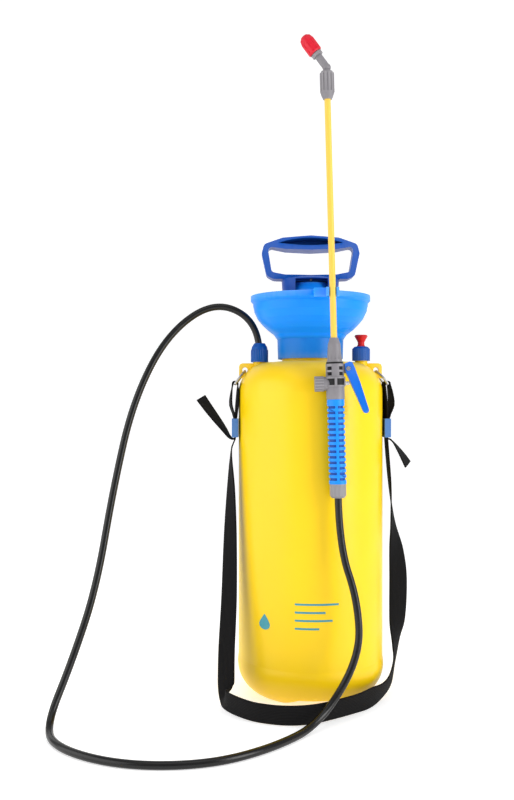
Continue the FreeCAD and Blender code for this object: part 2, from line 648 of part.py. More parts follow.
def make_valve_body():
    """Trigger valve: inlet below, outlet above, and a cross bore for the stem."""
    body = rod(VALVE_RADIUS, GRIP_END, VALVE_TOP)
    collar = rod(VALVE_RADIUS + BAND_RISE, BAND_LOW, BAND_HIGH)
    windows = ring(VALVE_RADIUS + BAND_RISE + 1, VALVE_RADIUS, BAND_LOW + BAND_RIM, BAND_HIGH - BAND_RIM)
    body = body.fuse(collar.cut(windows.cut(band_spines(0.0))))
    for row in range(NOTCH_ROWS):
        low = BAND_HIGH + 1.6 + row * NOTCH_PITCH
        for side in (-1, 1):
            middle = side * 7.5
            high = low + NOTCH_PITCH - 2.2
            notch = box((middle - 3.5, -VALVE_RADIUS - 1, low), (middle + 3.5, -VALVE_RADIUS + 6.0, high))
            body = body.cut(notch)
    left = sideways(rod(7.6, -VALVE_RADIUS - 2.5, 0), STEM_HEIGHT)
    body = body.fuse(left)
    pivot = TRIGGER_PIVOT_HEIGHT
    half = LUG_THICKNESS / 2
    lug = box((6, -half, pivot - 5), (TRIGGER_PIVOT_X, half, pivot + 5))
    tip = Part.makeCylinder(5.0, LUG_THICKNESS, V(TRIGGER_PIVOT_X, -half, pivot), V(0, 1, 0))
    body = body.fuse(lug).fuse(tip)
    body = body.fuse(rod(SPIGOT_RADIUS, VALVE_TOP - 1, VALVE_TOP + 14))
    body = body.cut(rod(3.0, GRIP_END - 1, STEM_HEIGHT)).cut(rod(3.0, STEM_HEIGHT + 5, VALVE_TOP + 3))
    body = body.cut(rod(LANCE_RADIUS + CLOSE_FIT, VALVE_TOP + 3, VALVE_TOP + 20))
    body = body.cut(box((-3, -1.5, STEM_HEIGHT), (0, 1.5, STEM_HEIGHT + 6)))
    body = body.cut(sideways(rod(4.6, -30, 1.5), STEM_HEIGHT))
    body = body.cut(sideways(rod(2.0 + RUNNING_FIT, 1, 30), STEM_HEIGHT))
    pin = Part.makeCylinder(PIN_RADIUS + 0.02, 40, V(TRIGGER_PIVOT_X, -20, pivot), V(0, 1, 0))
    return body.cut(pin)


def make_valve_band():
    """Dark ring seen in the windows of the valve body's collar."""
    low = BAND_LOW + BAND_RIM + 0.05
    high = BAND_HIGH - BAND_RIM - 0.05
    band = ring(VALVE_RADIUS + BAND_RISE - 0.3, VALVE_RADIUS + 0.02, low, high)
    return band.cut(band_spines(0.05)).cut(sideways(rod(8.7, -30, 0), STEM_HEIGHT))


def band_spines(grow):
    """Upright bars that divide the collar's windows, at the front and back and beside the lever."""
    half = SPINE_HALF_WIDTH + grow
    spines = box((-half, -20, BAND_LOW), (half, 20, BAND_HIGH))
    beside = TRIGGER_WIDTH / 2 + 1.0 + grow
    return spines.fuse(box((4.0 - grow, -beside, BAND_LOW), (20, beside, BAND_HIGH)))


def make_spring_cap():
    """Knurled cap on the side of the valve that holds the stem's spring."""
    cap = rod(8.4, -22.5, -VALVE_RADIUS - 2.7).cut(rod(4.7, -20.5, 0))
    for turn in range(16):
        notch = rod(0.8, -22.6, -13.6, 8.6)
        notch.rotate(V(0, 0, 0), V(0, 0, 1), 22.5 * turn)
        cap = cap.cut(notch)
    return sideways(cap, STEM_HEIGHT)


def trigger_push_x():
    """Where the stem's tip rests against the lever."""
    drop = TRIGGER_PIVOT_HEIGHT - STEM_HEIGHT
    tilt = math.radians(TRIGGER_TILT)
    return TRIGGER_PIVOT_X + drop * math.tan(tilt) - TRIGGER_THICKNESS / 2 / math.cos(tilt)


def make_valve_stem():
    tip = trigger_push_x() - 2 * BODY_GAP - 2.0 * math.tan(math.radians(TRIGGER_TILT))
    shaft = rod(2.0, -6.0, tip).fuse(rod(3.6, -5.0, -1.6))
    return sideways(shaft, STEM_HEIGHT)


def make_stem_seal():
    return sideways(ring(3.6, 2.05, -1.6, 0.9), STEM_HEIGHT)


def make_valve_spring():
    spring = coil_spring(2.9, 0.45, -20.4, -6.4 + 1.3, 5)
    return sideways(spring, STEM_HEIGHT)


def make_trigger_pin():
    half = TRIGGER_WIDTH / 2
    start = V(TRIGGER_PIVOT_X, -half - 0.2, TRIGGER_PIVOT_HEIGHT)
    pin = Part.makeCylinder(PIN_RADIUS, TRIGGER_WIDTH + 0.4, start, V(0, 1, 0))
    for side in (-1, 1):
        foot = V(TRIGGER_PIVOT_X, side * (half + BODY_GAP), TRIGGER_PIVOT_HEIGHT)
        pin = pin.fuse(Part.makeCylinder(PIN_RADIUS + 0.9, 1.0, foot, V(0, side, 0)))
        pin = pin.fuse(Part.makeCylinder(PIN_RADIUS, BODY_GAP, foot, V(0, -side, 0)))
    return pin


def make_trigger():
    """Squeeze lever, modelled hanging straight down and then tilted about its pin."""
    half = TRIGGER_THICKNESS / 2
    tip = half - TRIGGER_REACH
    outline = [
        (-half - 0.3, 0), (-half, tip), (half - 0.6, tip), (half + 2.4, -20), (half + 3.4, -2),
        (half + 3.2, 4.5), (half + 0.6, 6.6), (-1.4, 6.6),
    ]
    blade = prism(outline, -TRIGGER_WIDTH / 2, TRIGGER_WIDTH / 2)
    end_radius = half - 0.3
    end = Part.makeCylinder(end_radius, TRIGGER_WIDTH, V(-0.3, -TRIGGER_WIDTH / 2, tip), V(0, 1, 0))
    slot = box((-12, -LUG_THICKNESS / 2 - BODY_GAP, -7.6), (12, LUG_THICKNESS / 2 + BODY_GAP, 12))
    lever = blade.fuse(end).cut(slot)
    bore = Part.makeCylinder(PIN_RADIUS + RUNNING_FIT, 30, V(0, -15, 0), V(0, 1, 0))
    lever = lever.cut(bore)
    lever.rotate(V(0, 0, 0), V(0, 1, 0), -TRIGGER_TILT)
    lever.translate(V(TRIGGER_PIVOT_X, 0, TRIGGER_PIVOT_HEIGHT))
    return lever


def make_lance_seal():
    return ring(SPIGOT_RADIUS - 0.2, LANCE_RADIUS + 0.05, VALVE_TOP + 14.0, VALVE_TOP + 16.0)


def make_lance_nut():
    """Tapered knurled nut that clamps the lance in the valve body."""
    low = VALVE_TOP + 2.0
    top = low + LANCE_NUT_LENGTH
    bore = LANCE_RADIUS + CLOSE_FIT
    outline = [
        (SPIGOT_RADIUS + CLOSE_FIT, low), (LANCE_NUT_RADIUS + 0.5, low), (LANCE_NUT_RADIUS, low + 3),
        (LANCE_RADIUS + 3.4, top - 7), (LANCE_RADIUS + 1.7, top - 2), (LANCE_RADIUS + 1.1, top), (bore, top),
        (bore, VALVE_TOP + 16.2), (SPIGOT_RADIUS + CLOSE_FIT, VALVE_TOP + 16.2),
    ]
    nut = turned(outline)
    for turn in range(12):
        notch = rod(0.7, low + 3, top - 8, LANCE_NUT_RADIUS + 0.1)
        notch.rotate(V(0, 0, 0), V(0, 0, 1), 30 * turn)
        nut = nut.cut(notch)
    return nut


def make_valve_ring():
    """Dark washer between the valve body and the lance nut."""
    return ring(VALVE_RADIUS - 0.6, SPIGOT_RADIUS + CLOSE_FIT, VALVE_TOP, VALVE_TOP + 2.0)


def make_lance_tube():
    return ring(LANCE_RADIUS, LANCE_BORE, VALVE_TOP + 4.0, LANCE_TOP)


def make_nozzle_nut():
    """Long knurled nut that joins the nozzle elbow to the lance."""
    low = NOZZLE_NUT_START
    bore = LANCE_RADIUS + CLOSE_FIT
    outline = [
        (bore, low), (LANCE_RADIUS + 1.3, low), (LANCE_RADIUS + 2.7, low + 3), (NOZZLE_NUT_RADIUS, low + 8),
        (NOZZLE_NUT_RADIUS, NOZZLE_NUT_END), (SPIGOT_RADIUS + CLOSE_FIT, NOZZLE_NUT_END),
        (SPIGOT_RADIUS + CLOSE_FIT, low + 12), (bore, low + 12),
    ]
    nut = turned(outline)
    for turn in range(12):
        notch = rod(0.7, low + 8, NOZZLE_NUT_END - 1.5, NOZZLE_NUT_RADIUS + 0.1)
        notch.rotate(V(0, 0, 0), V(0, 0, 1), 30 * turn)
        nut = nut.cut(notch)
    return nut


def make_nozzle_elbow():
    """Elbow that turns on the lance and carries the nozzle at an angle."""
    gap = BODY_GAP
    socket = ring(SPIGOT_RADIUS + CLOSE_FIT - gap, LANCE_RADIUS + gap, NOZZLE_NUT_START + 16, NOZZLE_NUT_END + gap + 0.5)
    collar = rod(6.4, NOZZLE_NUT_END + gap, NOZZLE_NUT_END + 2.0)
    neck = rod(3.6, NOZZLE_NUT_END + 1, ELBOW_HEIGHT)
    ball = Part.makeSphere(ELBOW_TUBE_RADIUS + 0.5, V(0, 0, ELBOW_HEIGHT))
    tube = rod(ELBOW_TUBE_RADIUS, 0, TIP_START - 4.0)
    flange = rod(TIP_RADIUS - 1.6, TIP_START - 4.2, TIP_START - 0.6)
    spigot = rod(4.0, TIP_START - 1.0, TIP_START + 10)
    body = socket.fuse(collar).fuse(neck).fuse(ball).fuse(on_nozzle(tube.fuse(flange).fuse(spigot)))
    body = body.cut(rod(1.6, LANCE_TOP, ELBOW_HEIGHT))
    body = body.cut(rod(LANCE_RADIUS + gap, NOZZLE_NUT_START, LANCE_TOP + gap))
    return body.cut(on_nozzle(rod(1.5, 0, TIP_START + 11)))


def make_nozzle_seal():
    return on_nozzle(ring(4.8, 4.05, TIP_START + 1.5, TIP_START + 3.0))


def make_swirl_insert():
    core = rod(2.9, TIP_START + 10.1, TIP_START + 14.0).cut(rod(0.8, TIP_START + 10, TIP_START + 15))
    return on_nozzle(core)


def make_nozzle_cap():
    """Round-nosed adjusting cap with the spray hole."""
    low = TIP_START
    top = TIP_START + TIP_LENGTH
    inside = 4.9
    outline = [
        (inside, low), (TIP_RADIUS - 0.8, low), (TIP_RADIUS, low + 1.2), (TIP_RADIUS, top - 7),
        (TIP_RADIUS - 1.2, top - 2.5), (4.0, top), (0.7, top), (0.7, top - 4), (inside, top - 6),
    ]
    cap = turned(outline)
    for turn in range(10):
        notch = rod(0.8, low + 2, top - 8, TIP_RADIUS + 0.3)
        notch.rotate(V(0, 0, 0), V(0, 0, 1), 36 * turn)
        cap = cap.cut(notch)
    return on_nozzle(cap)


# ---------------------------------------------------------------- hose
LEAN = math.radians(WAND_LEAN)
HOSE_END = WAND_FOOT + V(math.sin(LEAN), 0, -math.cos(LEAN)) * BODY_GAP
FLOOR_LIE = HOSE_RADIUS      # height of the hose's middle where it lies on the floor
HOSE_ROUTE = [
    V(-PORT_OFFSET, 0, HOSE_START), V(-PORT_OFFSET, 0, HOSE_START + 38.5), V(-112, -10, TANK_TOP + 74),
    V(-168, -27, TANK_TOP + 34), V(-206, -48, 345), V(-226, -68, 245), V(-240, -96, 140), V(-262, -118, 66),
    V(-284, -150, FLOOR_LIE), V(-258, -207, FLOOR_LIE), V(-190, -247, FLOOR_LIE), V(-110, -245, FLOOR_LIE),
    V(-48, -203, FLOOR_LIE), V(2, -138, FLOOR_LIE), V(47, -115, 68), V(45, -109, 128),
    WAND_FOOT + V(1.5, 0, -54), HOSE_END,
]


def hose_wire():
    """Straight runs joined by tangent arcs, each as large as its two runs allow."""
    edges = []
    start = HOSE_ROUTE[0]
    for before, corner, after in zip(HOSE_ROUTE, HOSE_ROUTE[1:], HOSE_ROUTE[2:]):
        back = before - corner
        on = after - corner
        shorter = min(back.Length, on.Length)
        reach = 0.45 * shorter
        turn = math.pi - back.getAngle(on)
        radius = reach / math.tan(turn / 2)
        print("hose turn %.0f deg, radius %.1f" % (math.degrees(turn), radius))
        back.normalize()
        on.normalize()
        first = corner + back * reach
        last = corner + on * reach
        bisector = back + on
        bisector.normalize()
        middle = corner + bisector * (radius / math.cos(turn / 2) - radius)
        edges.append(line(start, first))
        edges.append(arc(first, middle, last))
        start = last
    edges.append(line(start, HOSE_ROUTE[-1]))
    return Part.Wire(edges)


def make_hose():
    path = hose_wire()
    tube = None
    for radius in (HOSE_RADIUS, HOSE_BORE):
        section = Part.Wire(Part.makeCircle(radius, HOSE_ROUTE[0], V(0, 0, 1)))
        core = path.makePipeShell([section], True, False)
        tube = core if tube is None else tube.cut(core)
    expected = math.pi * (HOSE_RADIUS**2 - HOSE_BORE**2) * path.Length
    print("hose length %.0f, volume ratio %.4f" % (path.Length, tube.Volume / expected))
    return tube


# ---------------------------------------------------------------- shoulder strap
def rounded_loop(corners, radius):
    """Closed flat wire through the corners, with an arc of the given radius at each."""
    count = len(corners)
    tangents = []
    arcs = []
    for index, corner in enumerate(corners):
        back = corners[index - 1] - corner
        on = corners[(index + 1) % count] - corner
        half = back.getAngle(on) / 2
        back.normalize()
        on.normalize()
        reach = radius / math.tan(half)
        bisector = back + on
        bisector.normalize()
        middle = corner + bisector * (radius / math.sin(half) - radius)
        tangents.append((corner + back * reach, corner + on * reach))
        arcs.append(arc(corner + back * reach, middle, corner + on * reach))
    edges = []
    for index in range(count):
        following = (index + 1) % count
        edges.append(line(tangents[index][1], tangents[following][0]))
        edges.append(arcs[following])
    return Part.Wire(edges)


def make_hook(side):
    """Closed wire link: its short bar lies in the ear's hole and its long bar carries the webbing."""
    top_half = EAR_THICKNESS / 2 + HOOK_BEND + GAP
    bar_half = WEB_WIDTH / 2 + HOOK_WIRE + 1.0
    top_z = EAR_HOLE_Z - EAR_HOLE_RADIUS + HOOK_WIRE + 0.1
    shoulder_x = side * (0.5 * EAR_HOLE_X + 0.5 * HOOK_BAR_X)
    shoulder_z = 0.5 * top_z + 0.5 * HOOK_BAR_Z
    near = STRAP_Y - bar_half
    far = STRAP_Y + bar_half
    corners = [
        V(side * EAR_HOLE_X, top_half, top_z), V(side * EAR_HOLE_X, -top_half, top_z), V(shoulder_x, near, shoulder_z),
        V(side * HOOK_BAR_X, near, HOOK_BAR_Z), V(side * HOOK_BAR_X, far, HOOK_BAR_Z), V(shoulder_x, far, shoulder_z),
    ]
    path = rounded_loop(corners, HOOK_BEND)
    start = path.Edges[0].Vertexes[0].Point
    section = Part.Wire(Part.makeCircle(HOOK_WIRE, start, corners[1] - corners[0]))
    return path.makePipeShell([section], True, False)


def make_buckle(side):
    """Three-bar slide that grips the doubled webbing."""
    half = WEB_THICKNESS + CLOSE_FIT
    low = BUCKLE_TOP - BUCKLE_HEIGHT
    x = HOOK_BAR_X
    thick = BUCKLE_THICKNESS / 2
    wide = BUCKLE_WIDTH / 2
    slot_wide = WEB_WIDTH / 2 + 0.3
    body = box((x - thick, STRAP_Y - wide, low), (x + thick, STRAP_Y + wide, BUCKLE_TOP))
    slot = box((x - half, STRAP_Y - slot_wide, low - 1), (x + half, STRAP_Y + slot_wide, BUCKLE_TOP + 1))
    windows = None
    for z in (low + 4.0, BUCKLE_TOP - 9.0):
        window = box((x, STRAP_Y - 9.0, z), (x + BUCKLE_THICKNESS, STRAP_Y + 9.0, z + 5.0))
        windows = window if windows is None else windows.fuse(window)
    body = body.cut(slot).cut(windows)
    if side < 0:
        body = body.mirror(V(0, 0, 0), V(1, 0, 0))
    return body


def strap_section(one_edge, other_edge, heading):
    """Rectangular section of the webbing between two edge points."""
    across = other_edge - one_edge
    normal = across.cross(heading)
    normal.normalize()
    offset = normal * (WEB_THICKNESS / 2)
    corners = [one_edge - offset, other_edge - offset, other_edge + offset, one_edge + offset]
    return Part.makePolygon(corners + corners[:1])


def turned_edges(centre, angle):
    """Two edge points of webbing whose width lies level, at an angle from +X towards -Y."""
    across = V(math.cos(math.radians(angle)), -math.sin(math.radians(angle)), 0) * (WEB_WIDTH / 2)
    return centre - across, centre + across


def strap_stations():
    """Edge points down the left side, along the floor in front of the tank and up the right side.

    They are written for a tank 86 mm in radius whose buckles end at 300 mm, and follow its size.
    """
    x = HOOK_BAR_X
    spread = TANK_RADIUS / 86.0
    rise = (BUCKLE_TOP - BUCKLE_HEIGHT - 1) / 300.0
    low = 0.5
    high = low + WEB_WIDTH
    gripped = [(V(x, STRAP_Y, BUCKLE_TOP - 2), 90), (V(x, STRAP_Y, BUCKLE_TOP - BUCKLE_HEIGHT - 1), 90)]
    left = [
        (-94.5, -12, 284, 88), (-94.6, -22, 240, 69), (-95.2, -33, 184, 54), (-96.2, -46, 118, 46),
        (-98.6, -58, 62, 43), (-99.0, -64, 30, 42),
    ]
    floor = [
        ((-108.0, -57.0), (-90.6, -73.5)), ((-97.0, -90.0), (-95.5, -89.0)), ((-73.0, -117.0), (-72.0, -116.0)),
        ((-50.0, -129.0), (-49.5, -128.0)), ((-28.0, -134.0), (-28.0, -133.0)), ((-6.0, -130.0), (-6.0, -129.0)),
        ((14.0, -117.0), (14.0, -116.0)), ((44.0, -95.0), (43.0, -94.0)), ((62.0, -75.0), (60.0, -75.0)),
    ]
    rising = [
        ((84.0, -40.0, 1.5), (74.0, -58.0, 19.0)), ((95.0, -14.0, 10.0), (86.5, -34.0, 24.0)),
        ((100.5, 2.0, 30.0), (95.5, -22.0, 37.0)),
    ]
    right = [
        (101.5, -12, 60, 118), (104.0, -12, 90, 132), (104.5, -12, 125, 136), (102.5, -11, 160, 126),
        (98.0, -10, 198, 106), (94.6, -9, 245, 92),
    ]
    stations = [turned_edges(V(-place.x, place.y, place.z), angle) for place, angle in gripped]
    stations += [turned_edges(V(a * spread, b * spread, z * rise), angle) for a, b, z, angle in left]
    for one, other in floor:
        lower = V(one[0] * spread, one[1] * spread, low)
        upper = V(other[0] * spread, other[1] * spread, high)
        stations.append((lower, upper))
    for one, other in rising:
        lower = V(one[0] * spread, one[1] * spread, one[2])
        upper = V(other[0] * spread, other[1] * spread, other[2])
        stations.append((lower, upper))
    stations += [turned_edges(V(a * spread, b * spread, z * rise), angle + 180) for a, b, z, angle in right]
    stations += [turned_edges(place, angle + 180) for place, angle in reversed(gripped)]
    return stations


def make_strap_span():
    stations = strap_stations()
    middles = [(a + b) * 0.5 for a, b in stations]
    sections = []
    for index, (a, b) in enumerate(stations):
        before = middles[max(index - 1, 0)]
        after = middles[min(index + 1, len(middles) - 1)]
        sections.append(strap_section(a, b, after - before))
    span = Part.makeLoft(sections, True, True)
    flat = sum((b - a).Length for a, b in zip(middles, middles[1:]))
    print("strap span length %.0f" % flat)
    return span


def teardrop(radius, narrow, bottom):
    """Upright sheet of webbing width, round at the hook's bar and narrow at its bottom."""
    centre = V(HOOK_BAR_X, 0, HOOK_BAR_Z)
    edges = [
        line(V(HOOK_BAR_X - narrow, 0, bottom), centre - V(radius, 0, 0)),
        arc(centre - V(radius, 0, 0), centre + V(0, 0, radius), centre + V(radius, 0, 0)),
        line(centre + V(radius, 0, 0), V(HOOK_BAR_X + narrow, 0, bottom)),
        line(V(HOOK_BAR_X + narrow, 0, bottom), V(HOOK_BAR_X - narrow, 0, bottom)),
    ]
    return Part.Face(Part.Wire(edges)).extrude(V(0, WEB_WIDTH, 0))


def make_strap_loop(side):
    """Webbing doubled round the hook's long bar and down into the buckle."""
    low = BUCKLE_TOP - BUCKLE_HEIGHT - 1
    inner = HOOK_WIRE + 0.5
    outside = teardrop(inner + WEB_THICKNESS, WEB_THICKNESS, BUCKLE_TOP + 1)
    legs = box((HOOK_BAR_X - WEB_THICKNESS, 0, low), (HOOK_BAR_X + WEB_THICKNESS, WEB_WIDTH, BUCKLE_TOP + 1))
    loop = outside.fuse(legs).cut(teardrop(inner, 0.1, BUCKLE_TOP + 6))
    loop.translate(V(0, STRAP_Y - WEB_WIDTH / 2, 0))
    if side < 0:
        loop = loop.mirror(V(0, 0, 0), V(1, 0, 0))
    return loop


def make_strap_tail(points):
    """Loose end of the webbing as a bent ribbon across Y."""
    stations = [V(x, 0, z) for x, z in points]
    one_side = []
    other_side = []
    for index, point in enumerate(stations):
        heading = stations[min(index + 1, len(stations) - 1)] - stations[max(index - 1, 0)]
        normal = V(heading.z, 0, -heading.x)
        normal.normalize()
        one_side.append(point + normal * (WEB_THICKNESS / 2))
        other_side.append(point - normal * (WEB_THICKNESS / 2))
    corners = one_side + other_side[::-1]
    ribbon = Part.Face(Part.makePolygon(corners + corners[:1])).extrude(V(0, WEB_WIDTH, 0))
    ribbon.translate(V(0, STRAP_Y - WEB_WIDTH / 2, 0))
    return ribbon


def make_shoulder_strap():
    x = HOOK_BAR_X
    low = BUCKLE_TOP - BUCKLE_HEIGHT
    left_tail = [
        (-x, low - 1.6), (-x - 3.4, low - 2.2), (-x - 7.5, low + 1.0), (-x - 13.0, low + 9.0),
        (-x - 22.0, low + 21.0), (-x - 31.0, low + 33.0), (-x - 41.0, low + 47.0),
    ]
    right_tail = [
        (x, low - 1.6), (x + 3.6, low - 2.4), (x + 8.0, low - 6.0), (x + 14.0, low - 14.0),
        (x + 20.0, low - 23.0), (x + 26.0, low - 33.0),
    ]
    strap = make_strap_span()
    for side, tail in ((-1, left_tail), (1, right_tail)):
        strap = strap.fuse(make_strap_loop(side)).fuse(make_strap_tail(tail))
    return strap


# ---------------------------------------------------------------- everything
FIXED = {
    "tank": make_tank, "outlet_fitting": make_outlet_fitting, "outlet_gasket": make_outlet_gasket, "outlet_nut": make_outlet_nut,
    "dip_tube": make_dip_tube, "dip_strainer": make_dip_strainer, "neck_gasket": make_neck_gasket, "funnel": make_funnel,
    "relief_body": make_relief_body, "relief_gasket": make_relief_gasket, "relief_stem": make_relief_stem,
    "relief_seal": make_relief_seal, "relief_knob": make_relief_knob, "relief_spring": make_relief_spring,
    "pump_seal": make_pump_seal, "pump_cap": make_pump_cap, "pump_barrel": make_pump_barrel, "check_valve": make_check_valve,
    "valve_cage": make_valve_cage, "rod_guide": make_rod_guide, "piston_rod": make_piston_rod, "piston": make_piston,
    "piston_seal": make_piston_seal, "pump_handle": make_pump_handle, "handle_pin": make_handle_pin, "hose": make_hose,
    "shoulder_strap": make_shoulder_strap,
}
ON_WAND = {
    "hose_nut": make_hose_nut, "hose_tail": make_hose_tail, "grip_ring": make_grip_ring, "grip_pipe": make_grip_pipe,
    "wand_strainer": make_wand_strainer, "grip": make_grip, "valve_body": make_valve_body, "valve_band": make_valve_band,
    "spring_cap": make_spring_cap, "valve_stem": make_valve_stem, "stem_seal": make_stem_seal, "valve_spring": make_valve_spring,
    "trigger_pin": make_trigger_pin, "trigger": make_trigger, "lance_seal": make_lance_seal, "lance_nut": make_lance_nut,
    "valve_ring": make_valve_ring, "lance_tube": make_lance_tube, "nozzle_nut": make_nozzle_nut, "nozzle_elbow": make_nozzle_elbow,
    "nozzle_seal": make_nozzle_seal, "swirl_insert": make_swirl_insert, "nozzle_cap": make_nozzle_cap,
}
for node, maker in FIXED.items():
    save(node, maker())
for node, maker in ON_WAND.items():
    save(node, on_wand(maker()))
for word, side in (("left", -1), ("right", 1)):
    save("hook_" + word, make_hook(side))
    save("buckle_" + word, make_buckle(side))
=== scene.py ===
# %% [markdown]
# # A pump sprayer
# An 8 litre compression sprayer: a yellow pressure tank, a blue filling funnel and pump handle, a black
# hose, a spray wand that hangs in a clip, and a shoulder strap. The moving frame comes from the packed
# model, and every piece here is placed by that frame, in metres, +Z up.

# %% load the frame
import json
import math
import bmesh
import bpy
from mathutils import Matrix, Vector


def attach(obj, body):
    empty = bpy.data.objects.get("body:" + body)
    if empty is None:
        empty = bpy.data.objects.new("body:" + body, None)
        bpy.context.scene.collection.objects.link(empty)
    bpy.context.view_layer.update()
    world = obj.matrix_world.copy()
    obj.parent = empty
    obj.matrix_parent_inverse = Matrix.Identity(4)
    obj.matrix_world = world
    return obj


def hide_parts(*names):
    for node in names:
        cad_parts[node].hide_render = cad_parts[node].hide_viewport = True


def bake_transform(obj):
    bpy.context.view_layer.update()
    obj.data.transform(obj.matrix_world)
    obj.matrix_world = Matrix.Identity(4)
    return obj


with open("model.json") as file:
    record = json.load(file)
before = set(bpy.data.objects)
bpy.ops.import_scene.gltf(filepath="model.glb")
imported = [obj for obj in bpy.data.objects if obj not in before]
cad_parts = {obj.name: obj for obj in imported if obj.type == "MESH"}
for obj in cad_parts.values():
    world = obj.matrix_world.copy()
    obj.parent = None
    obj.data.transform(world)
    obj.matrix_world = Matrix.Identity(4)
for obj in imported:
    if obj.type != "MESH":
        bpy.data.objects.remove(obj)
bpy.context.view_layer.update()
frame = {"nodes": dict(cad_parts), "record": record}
MM = 0.001

# %% [markdown]
# ## The camera
# The camera stands in front, a little over a metre away, and is held level at about the height of the
# tank's shoulder. A camera could also look down at the sprayer, but a level one keeps the tank's sides
# upright.

# %% camera
LENS = 41.2
EYE = Vector((-0.064, -1.100, 0.345))

camera_data = bpy.data.cameras.new("camera")
camera_data.lens = LENS
camera = bpy.data.objects.new("camera", camera_data)
camera.location = EYE
camera.rotation_euler = (math.radians(90), 0, 0)
bpy.context.scene.collection.objects.link(camera)
bpy.context.scene.camera = camera
bpy.context.scene.view_settings.view_transform = "Standard"
print("camera at", tuple(EYE))

# %% [markdown]
# ## Node helpers
# Every finish below is a small tree of nodes. These helpers keep each tree short: one makes a node and sets
# its sockets, one starts a material with its shader, one adds a fine bump, one mixes two colours, and one
# darkens a finish where a mask says so.

# %% node helpers
def node(tree, kind, links=None, **values):
    """One node with its properties, its numbers and its incoming links."""
    made = tree.nodes.new(kind)
    for name, value in values.items():
        setattr(made, name, value)
    for socket, value in (links or {}).items():
        if isinstance(value, bpy.types.NodeSocket):
            tree.links.new(value, made.inputs[socket])
        else:
            made.inputs[socket].default_value = value
    return made


def start_material(name, **shader):
    """A new material, its tree, its shader and its Object coordinates."""
    material = bpy.data.materials.new(name)
    material.use_nodes = True
    tree = material.node_tree
    principled = tree.nodes["Principled BSDF"]
    for socket, value in shader.items():
        principled.inputs[socket.replace("_", " ").title().replace("Ior", "IOR")].default_value = value
    place = node(tree, "ShaderNodeTexCoord").outputs["Object"]
    return material, tree, principled, place


def add_bump(tree, principled, height, strength, distance):
    """A bump from a height, linked to the shader."""
    bump = node(tree, "ShaderNodeBump", {"Height": height, "Strength": strength, "Distance": distance})
    tree.links.new(bump.outputs["Normal"], principled.inputs["Normal"])


def blended(tree, factor, low, high):
    """A colour between two colours."""
    mix = node(tree, "ShaderNodeMix", data_type="RGBA")
    tree.links.new(factor, mix.inputs[0])
    mix.inputs[6].default_value = (*low, 1)
    mix.inputs[7].default_value = (*high, 1)
    return mix.outputs[2]


def shade_where(material, mask, share):
    """Darkens a finish where a mask is 1, down to the given share of its colour."""
    tree = material.node_tree
    colour = tree.nodes["Principled BSDF"].inputs["Base Color"]
    dimmed = node(tree, "ShaderNodeMix", data_type="RGBA", blend_type="MULTIPLY")
    tree.links.new(mask, dimmed.inputs[0])
    tree.links.new(colour.links[0].from_socket, dimmed.inputs[6])
    dimmed.inputs[7].default_value = (*share, 1)
    tree.links.new(dimmed.outputs[2], colour)


print("helpers ready")

# %% [markdown]
# ## Moulded plastics
# Most of the sprayer is moulded plastic. Real mouldings are never one flat colour: the resin is a little
# cloudy, the gloss changes where hands rub it, and the skin has a fine orange peel. One recipe makes them
# all, with different colours, gloss and shine. Thin walls let some light into them, which a little
# subsurface gives.

# %% moulded plastics
def moulded(name, colour, cloud=0.06, gloss=0.3, peel=0.05, glow=0.0, depth=0.004, edge=0.25, shine=0.5):
    """Moulded plastic: clouded colour, patchy gloss, painted highlights on sharp edges and a fine orange
    peel.
    """
    material, tree, principled, place = start_material(name, specular_ior_level=shine)
    cloudy = node(tree, "ShaderNodeTexNoise", {"Vector": place, "Scale": 14.0, "Detail": 3.0}).outputs["Fac"]
    dark = [c * (1 - cloud) for c in colour]
    light = [min(1.0, c * (1 + cloud)) for c in colour]
    body = blended(tree, cloudy, dark, light)
    sharp = node(tree, "ShaderNodeNewGeometry").outputs["Pointiness"]
    # Painted highlight: sharp edges, found by pointiness, are paled towards white, up to the share given by
    # edge.
    edge_highlight_and_ink_wear = node(tree, "ShaderNodeMapRange", {"Value": sharp, "From Min": 0.53, "From Max": 0.62,
                                             "To Max": edge}).outputs["Result"]
    pale = node(tree, "ShaderNodeMix", data_type="RGBA")
    tree.links.new(edge_highlight_and_ink_wear, pale.inputs[0])
    tree.links.new(body, pale.inputs[6])
    pale.inputs[7].default_value = (*[min(1.0, c * 0.7 + 0.3) for c in colour], 1)
    tree.links.new(pale.outputs[2], principled.inputs["Base Color"])
    rubbed = node(tree, "ShaderNodeTexNoise", {"Vector": place, "Scale": 45.0, "Detail": 4.0}).outputs["Fac"]
    rough = node(tree, "ShaderNodeMapRange", {"Value": rubbed, "To Min": gloss * 0.85, "To Max": gloss * 1.2})
    tree.links.new(rough.outputs["Result"], principled.inputs["Roughness"])
    skin = node(tree, "ShaderNodeTexNoise", {"Vector": place, "Scale": 900.0, "Detail": 2.0}).outputs["Fac"]
    add_bump(tree, principled, skin, peel, 0.0003)
    if glow:
        principled.inputs["Subsurface Weight"].default_value = glow
        principled.inputs["Subsurface Scale"].default_value = depth
        principled.inputs["Subsurface Radius"].default_value = (1.0, 0.9, 0.6)
    return material


